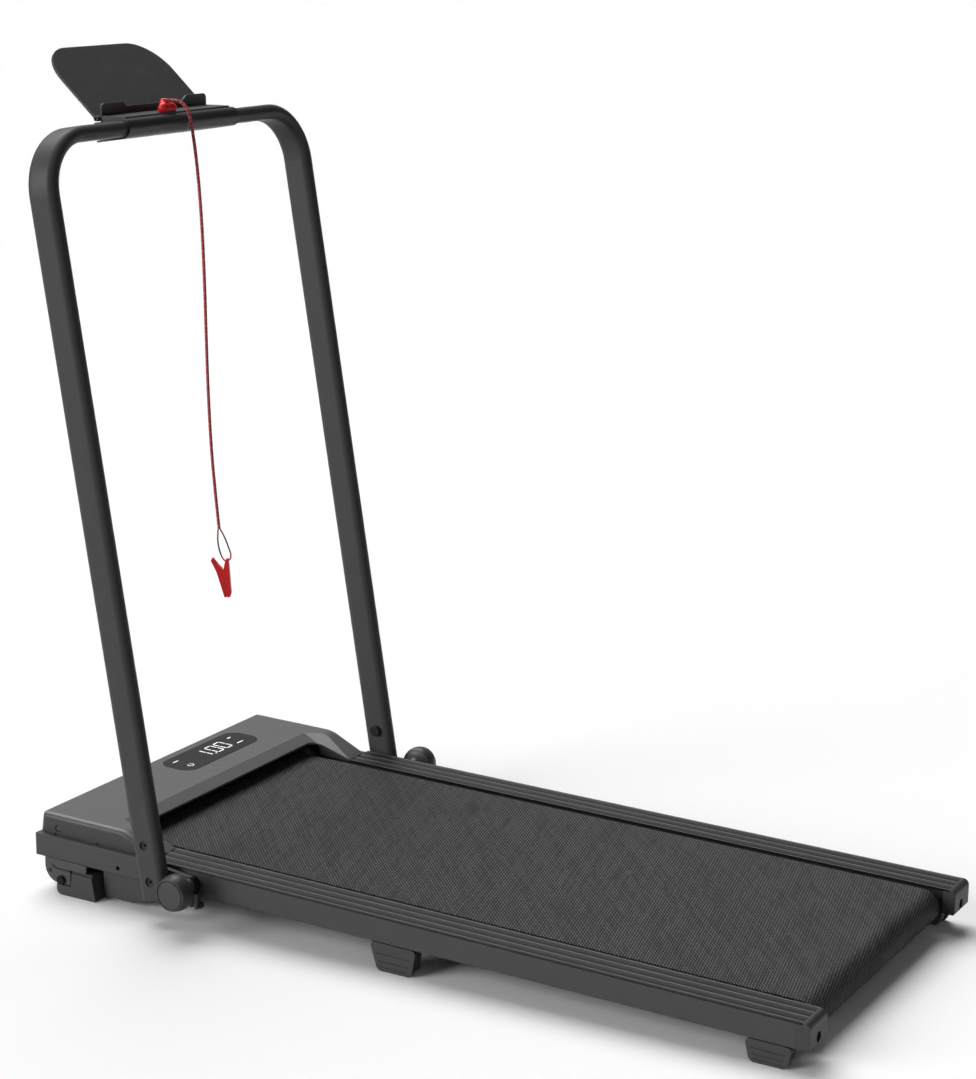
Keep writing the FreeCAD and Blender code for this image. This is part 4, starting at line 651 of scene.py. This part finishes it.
def backdrop():
    """Round wall inside the floor's edges: point = (R cos t, R sin t, z)."""
    turn = np.linspace(0, FULL_TURN, WALL_SIDES + 1)
    rise = np.linspace(0, WALL_HEIGHT, WALL_ROWS)
    spoke = np.stack([np.cos(turn[:-1]), np.sin(turn[:-1]), turn[:-1] * 0], -1)
    grid = WALL_RADIUS * spoke + rise[:, None, None] * np.array([0.0, 0.0, 1.0])
    return surface("backdrop", grid, rise, turn, round_columns=True)


def belt_path(radius):
    """Line round both rollers: top run, half turn at the rear, lower run, half turn at the front.
    Point = axis + radius times outward, and outward = sin t along + cos t up on the turns.
    Gives points, outward directions and the distance along the loop."""
    share = np.linspace(0, 1, RUN_POINTS)[:, None]
    run = FRONT_ROLLER + share * (REAR_ROLLER - FRONT_ROLLER)
    turn = np.linspace(0, math.pi, BEND_POINTS)[1:-1, None]
    bend = np.sin(turn) * ALONG + np.cos(turn) * UP
    level = np.ones_like(share) * UP
    centres = np.concatenate([run, REAR_ROLLER + turn * 0, run[::-1], FRONT_ROLLER + turn * 0])
    outward = np.concatenate([level, bend, -level, -bend])
    points = centres + radius * outward
    steps = np.linalg.norm(np.roll(points, -1, 0) - points, axis=-1)
    return points, outward, np.concatenate([[0], np.cumsum(steps)])


def belt_loop():
    """Flat strip with eased edges carried round the belt's path: path + a across + b outward."""
    rear, half = box("walking_belt")[1][:2]
    t = BELT_THICK / 2
    e = BELT_EDGE
    points, outward, along = belt_path(rear - REAR_ROLLER[0] - t)
    profile = np.array([(-half, -t + e), (-half, t - e), (-half + e, t), (half - e, t),
                        (half, t - e), (half, -t + e), (half - e, -t), (-half + e, -t)])
    grid = points[:, None] + profile[:, :1] * ACROSS + profile[:, 1:] * outward[:, None]
    v = np.concatenate([profile[:, 0], profile[:1, 0]])
    return surface("belt_cloth", grid, along, v, round_rows=True, round_columns=True)


def route_line(name, route):
    """Points along the NURBS spline whose control points are the route."""
    curve = bpy.data.curves.new(name, "CURVE")
    curve.dimensions = "3D"
    curve.resolution_u = SPLINE_STEPS
    spline = curve.splines.new("NURBS")
    spline.points.add(len(route) - 1)
    controls = np.column_stack([np.array(route), np.ones(len(route))])
    spline.points.foreach_set("co", controls.ravel())
    spline.order_u = SPLINE_ORDER
    spline.use_endpoint_u = True
    holder = bpy.data.objects.new(name, curve)
    line = bpy.data.meshes.new_from_object(holder)
    points = np.empty(len(line.vertices) * 3)
    line.vertices.foreach_get("co", points)
    bpy.data.objects.remove(holder)
    bpy.data.curves.remove(curve)
    bpy.data.meshes.remove(line)
    return points.reshape(-1, 3)


def evenly(points, step):
    """The same line, read at equal steps of its length."""
    lengths = np.linalg.norm(np.diff(points, axis=0), axis=-1)
    along = np.concatenate([[0], np.cumsum(lengths)])
    places = np.linspace(0, along[-1], int(along[-1] / step) + 1)
    return np.stack([np.interp(places, along, points[:, i]) for i in range(3)], -1), places


def cord_tube(name, route, diameter, pitch, step, sides, side_hint, relief):
    """Round tube along the route's spline: point = line + r (cos t across + sin t up). The radius
    is lowered between two sets of crossing strands: r = R (1 - relief (1 - |sin| |sin|)), where the
    two angles turn opposite ways along the cord. Gives the piece and its line."""
    points, along = evenly(route_line(name + "_line", route), step)
    forward = unit(np.gradient(points, axis=0))
    across = unit(np.cross(forward, np.array(side_hint)))
    up = np.cross(across, forward)
    turn = np.linspace(0, FULL_TURN, sides, endpoint=False)
    ring = np.stack([np.cos(turn), np.sin(turn)], -1)
    twist = along[:, None] * (FULL_TURN / pitch)
    crossing = np.abs(np.sin(STRANDS / 2 * turn + twist) * np.sin(STRANDS / 2 * turn - twist))
    radius = diameter / 2 * (1 - relief * (1 - crossing))
    spokes = ring[None, :, :1] * across[:, None] + ring[None, :, 1:] * up[:, None]
    grid = points[:, None] + radius[..., None] * spokes
    faces, steps = grid_faces(len(points), sides, round_columns=True)
    uv = np.stack([along[steps[:, 0]], steps[:, 1] / sides], -1)
    last = (len(points) - 1) * sides
    ends = [list(range(sides)), list(range(last, last + sides))[::-1]]
    uv = np.concatenate([uv.reshape(-1, 2), ring * END_UV, ring[::-1] * END_UV])
    return add_object(name, grid, faces.tolist() + ends, uv, CORD_CREASE), points


def bars(name, grids):
    """Closed profiles carried along lines, as one mesh with capped ends. Grids of (piece, row,
    corner, xyz)."""
    count, rows, columns = grids.shape[:3]
    faces = grid_faces(rows, columns, round_columns=True)[0]
    start = np.arange(count)[:, None] * rows * columns
    ring = np.arange(columns)[None]
    walls = (faces[None] + start[:, None]).reshape(-1, 4).tolist()
    first = (ring + start).tolist()
    last = (ring[:, ::-1] + start + (rows - 1) * columns).tolist()
    return add_object(name, grids, walls + first + last)


def turned(name, centres, profile):
    """Round knobs standing out from both sides of the deck: a profile of (radius, height) turned
    about the across axis, point = centre + radius (cos t along + sin t up) + height outwards,
    closed at both ends."""
    centres = np.asarray(centres, float)
    out = np.sign(centres[:, 1])[:, None, None, None]
    turn = np.linspace(0, FULL_TURN, TURNED_SIDES, endpoint=False)
    radius = profile[None, :, 0, None, None]
    height = profile[None, :, 1, None, None]
    spoke = np.cos(turn)[:, None] * ALONG + out * np.sin(turn)[:, None] * UP
    return bars(name, centres[:, None, None] + radius * spoke + height * out * ACROSS)


def dome(radius, height, skirt):
    """Profile of a domed cap: a straight skirt, then a quarter ellipse drawn in to a small flat,
    (radius cos t, skirt + (height - skirt) sin t)."""
    t = np.linspace(0, DOME_END, DOME_POINTS) * math.pi / 2
    crown = np.stack([radius * np.cos(t), skirt + (height - skirt) * np.sin(t)], -1)
    return np.concatenate([[(radius, 0.0)], crown])


def stop_bumpers():
    """Domes turned on the round ears of the fold stops, as rubber caps."""
    low, high = box("fold_stops")
    x = high[0] - STOP_EAR / 2
    z = low[2] + STOP_EAR_RISE
    walls = (box("side_tube_left")[0][1], box("side_tube_right")[1][1])
    cap = dome(STOP_EAR / 2 + CAP_WALL, STOP_THICK + CAP_WALL, STOP_THICK - CAP_WALL)
    return turned("stop_bumpers", [(x, y, z) for y in walls], cap)


def bracket_corners():
    """Upper front corner of each wheel bracket, on its outer face."""
    corners = []
    for low, high in map(box, both_sides("front_bracket")):
        corners.append((low[0], low[1] if low[1] < 0 else high[1], high[2]))
    return np.array(corners)


def bracket_screws():
    """Domes turned on the front corners of the wheel brackets, as screw heads."""
    centres = bracket_corners() + SCREW_AT[0] * ALONG + SCREW_AT[1] * UP
    return turned("bracket_screws", centres, dome(SCREW_HEAD / 2, SCREW_HEIGHT, SCREW_SKIRT))


def bracket_trim():
    """Dark strips under the tabs of the wheel brackets, as painted shadow in the slots there: a
    flat-topped profile carried along a straight run whose front end rises by a bell curve,
    height = hook exp(-(s / width)^2)."""
    share = np.linspace(0, 1, SHADOW_STRIP_POINTS)
    along = SHADOW_STRIP_START + (SHADOW_STRIP_END - SHADOW_STRIP_START) * share
    rise = SHADOW_STRIP_LEVEL + SHADOW_STRIP_HOOK * np.exp(-(share / SHADOW_STRIP_BELL) ** 2)
    line = along[:, None] * ALONG + rise[:, None] * UP
    forward = unit(np.gradient(line, axis=0))
    w = SHADOW_STRIP_WIDTH / 2
    t = SHADOW_STRIP_THICK
    profile = np.array([(-w, 0.0), (-w, t / 2), (-SHADOW_STRIP_FLAT * w, t), (SHADOW_STRIP_FLAT * w, t),
                        (w, t / 2), (w, 0.0)])
    corners = bracket_corners()[:, None, None]
    out = np.sign(corners[..., 1:2])
    side = np.cross(ACROSS, forward)[None, :, None] * out
    path = corners + line[None, :, None]
    return bars("bracket_trim", path + profile[:, :1] * side + profile[:, 1:] * out * ACROSS)


def gap_seals():
    """Dark strips that close the slits beside the belt, as painted shade there: a flat profile with
    eased inner corners carried along the deck, from the side tubes' inner walls to the running
    board. Point = line through the rollers' axes + rise up + a across + b up."""
    front = box("belly_pan")[1][0] + SLIT_STRIP_GAP
    rear = box("rear_axle")[0][0] - SLIT_STRIP_GAP
    x = np.linspace(front, rear, SLIT_STRIP_POINTS)
    share = (x - FRONT_ROLLER[0]) / (REAR_ROLLER[0] - FRONT_ROLLER[0])
    line = FRONT_ROLLER + share[:, None] * (REAR_ROLLER - FRONT_ROLLER) + SLIT_STRIP_RISE * UP
    inner = box("running_board")[1][1] + SLIT_STRIP_GAP
    outer = box("side_tube_right")[0][1]
    t = SLIT_STRIP_THICK / 2
    ring = np.array([(inner, -t / 2), (inner, t / 2), (inner + t, t), (outer, t), (outer, -t),
                     (inner + t, -t)])
    rings = np.stack([ring, ring[::-1] * (-1, 1)])[:, None]
    return bars("gap_seals", line[None, :, None] + rings[..., :1] * ACROSS + rings[..., 1:] * UP)


def strokes(centres, directions, lengths, width):
    """Flat strokes on the panel, six corners each with the ends drawn to a point:
    corner = centre + a along + b sideways."""
    along = unit(np.asarray(directions, float))
    side = np.stack([-along[:, 1], along[:, 0]], -1)
    half = np.asarray(lengths, float)[:, None] / 2
    w = width / 2
    a = np.stack([half - w, half, half - w, w - half, -half, w - half], 1)
    b = np.array([-w, 0, w, w, 0, -w])[None, :, None]
    return np.asarray(centres, float)[:, None] + a * along[:, None] + b * side[:, None]


def digit_strokes(lit, place, size):
    """Segments of one digit, its top towards the front: three bars across and four uprights."""
    h = size.digit_height / 2
    w = size.digit_width / 2
    middles = {"a": (-h, 0), "g": (0, 0), "d": (h, 0), "f": (-h / 2, -w), "b": (-h / 2, w),
               "e": (h / 2, -w), "c": (h / 2, w)}
    centres = np.array([middles[k] for k in lit]) + np.array([DIGIT_ROW, place])
    flat = np.array([k in "agd" for k in lit])
    headings = np.where(flat[:, None], (0.0, 1.0), (1.0, 0.0))
    lengths = np.where(flat, size.digit_width - size.stroke * BAR_SHORT,
                       size.digit_height / 2 - size.stroke * UPRIGHT_SHORT)
    return strokes(centres, headings, lengths, size.stroke)


def ring_mark(centre, radius, width, start, end, pieces):
    """Ring or part of one as short four-cornered plates between two circles:
    corner = centre + (radius -+ width / 2) (cos t, sin t)."""
    turn = np.linspace(start, end, pieces + 1)
    spoke = np.stack([np.cos(turn), np.sin(turn)], -1)
    inner = np.asarray(centre) + spoke * (radius - width / 2)
    outer = np.asarray(centre) + spoke * (radius + width / 2)
    return np.stack([inner[:-1], outer[:-1], outer[1:], inner[1:]], 1)


def raised_marks(name, outlines):
    """Thin plates with the given outlines (n, corners, 2), standing on the panel."""
    count, corners = outlines.shape[:2]
    face = np.zeros((count, corners, 1))
    bottom = np.concatenate([outlines, face], -1)
    top = np.concatenate([outlines, face + MARK_THICK], -1)
    points = np.stack([bottom, top], 1)
    base = np.arange(count)[:, None] * 2 * corners
    ring = np.arange(corners)[None]
    after = (ring + 1) % corners
    upper = (base + corners + ring).tolist()
    lower = (base + ring[:, ::-1]).tolist()
    walls = np.stack([base + ring, base + after, base + corners + after, base + corners + ring], -1)
    return add_object(name, on_panel(points), upper + lower + walls.reshape(-1, 4).tolist())


# Operators

class WALKPAD_OT_stage(bpy.types.Operator):
    """Sets the camera, the pale floor and soft lights"""
    bl_idname = "walkpad.stage"
    bl_label = "Stage"

    def camera(self, context, s):
        data = bpy.data.cameras.new("camera")
        data.sensor_fit = "VERTICAL"
        data.sensor_height = SENSOR_HEIGHT
        data.lens = s.lens
        camera = bpy.data.objects.new("camera", data)
        context.scene.collection.objects.link(camera)
        camera.location = (s.camera_x, s.camera_y, s.camera_z)
        camera.rotation_euler = (math.pi / 2 + s.pitch, 0, s.yaw)
        context.scene.camera = camera

    def surroundings(self, s):
        """Floor and wall. Neither sheds diffuse light on the object."""
        edge = np.linspace(-FLOOR_HALF, FLOOR_HALF, FLOOR_LINES)
        x, y = np.meshgrid(edge, edge, indexing="ij")
        floor = surface("floor", np.stack([x, y, x * 0], -1), edge, edge)
        floor.data.materials.append(floor_finish("studio_floor", s.floor))
        floor.visible_diffuse = False
        wall = backdrop()
        wall.data.materials.append(glow("studio_wall", (1.0, 1.0, 1.0), 1.0))
        wall.visible_diffuse = False
        wall.visible_glossy = False
        wall.visible_shadow = False

    def lamp(self, name, kind, energy, place, aim):
        light = bpy.data.lights.new(name, kind)
        light.energy = energy
        lamp = bpy.data.objects.new(name, light)
        bpy.context.scene.collection.objects.link(lamp)
        lamp.location = place
        heading = Vector(aim) - Vector(place)
        lamp.rotation_euler = heading.to_track_quat("-Z", "Y").to_euler()
        return light

    def lights(self, context, s):
        for name, (place, aim, degrees) in SUNS.items():
            sun = self.lamp(name, "SUN", getattr(s, name), place, aim)
            sun.angle = math.radians(degrees)
        back = self.lamp("back", "AREA", s.back, BACK_PLACE, BACK_AIM)
        back.shape = "RECTANGLE"
        back.size, back.size_y = BACK_SIZE
        world = bpy.data.worlds.new("studio")
        world.use_nodes = True
        ground = world.node_tree.nodes["Background"]
        ground.inputs["Color"].default_value = (1.0, 1.0, 1.0, 1.0)
        ground.inputs["Strength"].default_value = s.world
        context.scene.world = world

    def execute(self, context):
        s = context.scene.walkpad_stage
        self.camera(context, s)
        self.surroundings(s)
        self.lights(context, s)
        context.scene.view_settings.view_transform = "Standard"
        return {"FINISHED"}


class WALKPAD_OT_deck(bpy.types.Operator):
    """Finishes the deck's frame, treads, caps, brackets and feet, and adds rubber caps, screws and
    dark strips as painted shade
    """
    bl_idname = "walkpad.deck"
    bl_label = "Deck"

    def execute(self, context):
        c = context.scene.walkpad_colours
        paint(coat("frame_coat", c.frame, rough=0.46, grain=1100, relief=0.10, edge=2.2),
              "cross_tubes", "belly_pan", *both_sides("side_tube"))
        # Painted light: the brackets and fold stops get a lighter copy of the frame paint.
        paint(coat("bracket_coat", tint(c.frame, 1.25), rough=0.44, grain=1100, relief=0.10,
                   edge=2.4), "fold_stops", *both_sides("front_bracket"))
        paint(ribbed("tread_strip", c.tread, c.ridge_wear_and_highlight), *both_sides("tread"))
        paint(coat("end_cap", c.cap, rough=0.48, grain=1400, relief=0.14), *both_sides("rear_cap"))
        paint(coat("foot_rubber", c.rubber, rough=0.62, grain=1600, relief=0.18, mottle=0.16,
                   edge=1.9), "board_cushions", *both_sides("front_foot", "mid_foot", "rear_foot"))
        paint(coat("wheel_plastic", c.knob, rough=0.5, grain=1200), *both_sides("transport_wheel"))
        paint(coat("socket_plastic", c.rubber, rough=0.45, grain=1400),
              "power_inlet", "power_switch")
        # Black rubber for the fold-stop caps and screw heads, also used for the strips that stand
        # for shade in the bracket slots and the slits beside the belt.
        dark = coat("bumper_rubber", tint(c.rubber, 0.2), rough=0.55, grain=1600, relief=0.18,
                    edge=2.4)
        pieces = {stop_bumpers: "foot_rubber", bracket_screws: "bolt_black",
                  bracket_trim: "foot_rubber", gap_seals: "foot_rubber"}
        for form, slot in pieces.items():
            piece = form()
            piece.data.materials.append(dark)
            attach(piece, "deck")
        return {"FINISHED"}


class WALKPAD_OT_belt(bpy.types.Operator):
    """Makes the woven walking belt"""
    bl_idname = "walkpad.belt"
    bl_label = "Walking belt"

    def execute(self, context):
        c = context.scene.walkpad_colours
        size = context.scene.walkpad_sizes
        cloth = belt_loop()
        material = weave("belt_weave", c.belt_valley_shade, c.belt_light, size.weave)
        cloth.data.materials.append(material)
        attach(cloth, "deck")
        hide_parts("walking_belt")
        paint(material, "walking_belt")
        return {"FINISHED"}


class WALKPAD_OT_cover(bpy.types.Operator):
    """Finishes the motor cover and draws the display's marks"""
    bl_idname = "walkpad.cover"
    bl_label = "Motor cover and display"

    def execute(self, context):
        c = context.scene.walkpad_colours
        size = context.scene.walkpad_sizes
        paint(grained_with_painted_light("cover_grain", c.cover, rough=0.44), "motor_cover")
        paint(gloss("panel_gloss", c.panel, rough=0.48, clear=0.0, specular=0.2), "display_panel")
        paint(coat("screw_black", c.rubber, rough=0.35), "cover_screws")
        outlines = [digit_strokes(lit, place, size) for place, lit in DIGITS.items()]
        outlines.append(strokes(list(DASHES), [(0.0, 1.0)] * len(DASHES), list(DASHES.values()),
                                size.stroke))
        dot = (DIGIT_ROW + size.digit_height / 2, POINT_PLACE)
        marks = {
            "display_digits": np.concatenate(outlines),
            "display_ring": ring_mark(RING_PLACE, RING_RADIUS, RING_WIDTH, *RING_ENDS, RING_PIECES),
            "display_point": ring_mark(dot, POINT_RADIUS, POINT_WIDTH, 0, FULL_TURN, POINT_PIECES)}
        lit_marks = glow("lit_marks", c.digits, LIT_STRENGTH)
        for name, outline in marks.items():
            mark = raised_marks(name, outline)
            mark.data.materials.append(lit_marks)
            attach(mark, "deck")
        return {"FINISHED"}


class WALKPAD_OT_handrail(bpy.types.Operator):
    """Finishes the folding handrail, its brackets, bolts and clamp knobs"""
    bl_idname = "walkpad.handrail"
    bl_label = "Handrail"

    def execute(self, context):
        c = context.scene.walkpad_colours
        rail = {"rough": 0.45, "grain": 1000, "relief": 0.10, "edge": 2.0, "specular": 0.22}
        pivot = JOINTS["handrail_fold"]["pos_m"][0]
        paint(coat("rail_coat", c.rail, stretch=RAIL_GRAIN, **rail), "handrail")
        # The swing brackets' eyes are painted black behind the pivot, as painted shadow.
        paint(coat("swing_coat", c.rail, shadow_from=pivot, **rail), *both_sides("swing_bracket"))
        paint(coat("bolt_black", tint(c.rubber, 0.3), rough=0.36, edge=5.0), "rail_bolts")
        paint(coat("knob_plastic", c.knob, rough=0.42, grain=1300, edge=1.8),
              *both_sides("clamp_knob"))
        return {"FINISHED"}


class WALKPAD_OT_holder(bpy.types.Operator):
    """Finishes the tablet holder on the crossbar"""
    bl_idname = "walkpad.holder"
    bl_label = "Tablet holder"

    def execute(self, context):
        c = context.scene.walkpad_colours
        paint(coat("holder_plastic", c.holder, rough=0.44, grain=1300, relief=0.14, edge=3.2),
              "holder_clamp", "holder_ledge", *both_sides("holder_shroud"))
        paint(coat("plate_plastic", tint(c.holder, 2.3), rough=0.52, grain=1000, relief=0.2,
                   mottle=0.06, edge=4.0), "tablet_plate")
        return {"FINISHED"}


class WALKPAD_OT_lanyard(bpy.types.Operator):
    """Makes the braided lanyard and its loop, and finishes the safety key and clip"""
    bl_idname = "walkpad.lanyard"
    bl_label = "Safety key and lanyard"

    def execute(self, context):
        c = context.scene.walkpad_colours
        size = context.scene.walkpad_sizes
        paint(gloss("key_red", c.red, rough=0.34, clear=0.12, specular=0.3),
              "safety_key", "clip_holder", "clip_jaw")
        cord, line = cord_tube("lanyard_braided", LANYARD_ROUTE, size.cord, size.braid,
                               step=0.0012, sides=16, side_hint=LANYARD_SIDE, relief=0.07)
        loop, ring = cord_tube("lanyard_thin_loop", LOOP_ROUTE, size.loop, size.braid / 2,
                               step=0.0008, sides=12, side_hint=LOOP_SIDE, relief=0.10)
        braided = braid("lanyard_braid", c.cord_dark, c.cord, size.braid)
        thin = braid("loop_braid", c.cord_dark, tint(c.red, 0.8), size.braid / 2, c.thread,
                     self.span(ring))
        for piece, material, node in ((cord, braided, "lanyard_cord"),
                                      (loop, thin, "lanyard_loop")):
            piece.data.materials.append(material)
            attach(piece, "safety_key")
            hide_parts(node)
            paint(material, node)
        return {"FINISHED"}

    def span(self, line):
        return float(np.linalg.norm(np.diff(line, axis=0), axis=-1).sum())


class WALKPAD_OT_inside(bpy.types.Operator):
    """Finishes the rollers, drive and electrics inside"""
    bl_idname = "walkpad.inside"
    bl_label = "Rollers and drive"

    def execute(self, context):
        c = context.scene.walkpad_colours
        paint(metal("plated_steel", c.steel, rough=0.34),
              "hinge_pin", "motor_shaft", "motor_saddle")
        paint(metal("dark_steel", tint(c.steel, 0.2), rough=0.45, stretch=TURNED_MARKS),
              "front_axle", "front_bearings", "front_roller",
              "rear_axle", "rear_bearings", "rear_roller")
        # Near black: partly the parts' own colour, partly painted shade on the pivot bushes behind
        # the knobs and the adjuster bolts in the end caps' holes.
        paint(coat("axle_black", tint(c.rubber, 0.1), rough=0.5, edge=2.0, specular=0.15),
              "wheel_axles", "pivot_bushes", "adjuster_bolts")
        paint(metal("turned_steel", tint(c.steel, 0.8), rough=0.4, stretch=TURNED_MARKS),
              "roller_pulley", "motor_pulley")
        paint(coat("motor_case", c.rubber, rough=0.45), "motor")
        paint(coat("drive_rubber", c.rubber, rough=0.7, grain=1600, relief=0.2), "drive_belt")
        paint(coat("circuit_board", CIRCUIT_GREEN, rough=0.4, grain=1400), "control_board")
        paint(timber("pressed_board"), "running_board")
        return {"FINISHED"}


class WALKPAD_PT_panel(bpy.types.Panel):
    """Lists the walking pad's pieces and settings"""
    bl_idname = "WALKPAD_PT_panel"
    bl_label = "Walking pad"
    bl_space_type = "VIEW_3D"
    bl_region_type = "UI"
    bl_category = "Walking pad"

    def draw(self, context):
        for operator in OPERATORS:
            self.layout.operator(operator.bl_idname)
        for pointer in GROUPS:
            group = getattr(context.scene, pointer)
            column = self.layout.box()
            for name in group.__annotations__:
                column.prop(group, name)


OPERATORS = (WALKPAD_OT_stage, WALKPAD_OT_lanyard, WALKPAD_OT_deck, WALKPAD_OT_belt,
             WALKPAD_OT_cover, WALKPAD_OT_handrail, WALKPAD_OT_holder, WALKPAD_OT_inside)
GROUPS = {"walkpad_colours": PadColours, "walkpad_sizes": PadSizes, "walkpad_stage": StageSettings}


def register():
    for item in (*GROUPS.values(), *OPERATORS, WALKPAD_PT_panel):
        bpy.utils.register_class(item)
    for name, group in GROUPS.items():
        setattr(bpy.types.Scene, name, bpy.props.PointerProperty(type=group))


def unregister():
    for name in GROUPS:
        delattr(bpy.types.Scene, name)
    for item in (WALKPAD_PT_panel, *reversed(OPERATORS), *reversed(GROUPS.values())):
        bpy.utils.unregister_class(item)


def main():
    register()
    for operator in OPERATORS:
        group, name = operator.bl_idname.split(".")
        getattr(getattr(bpy.ops, group), name)()


if __name__ == "__main__":
    main()
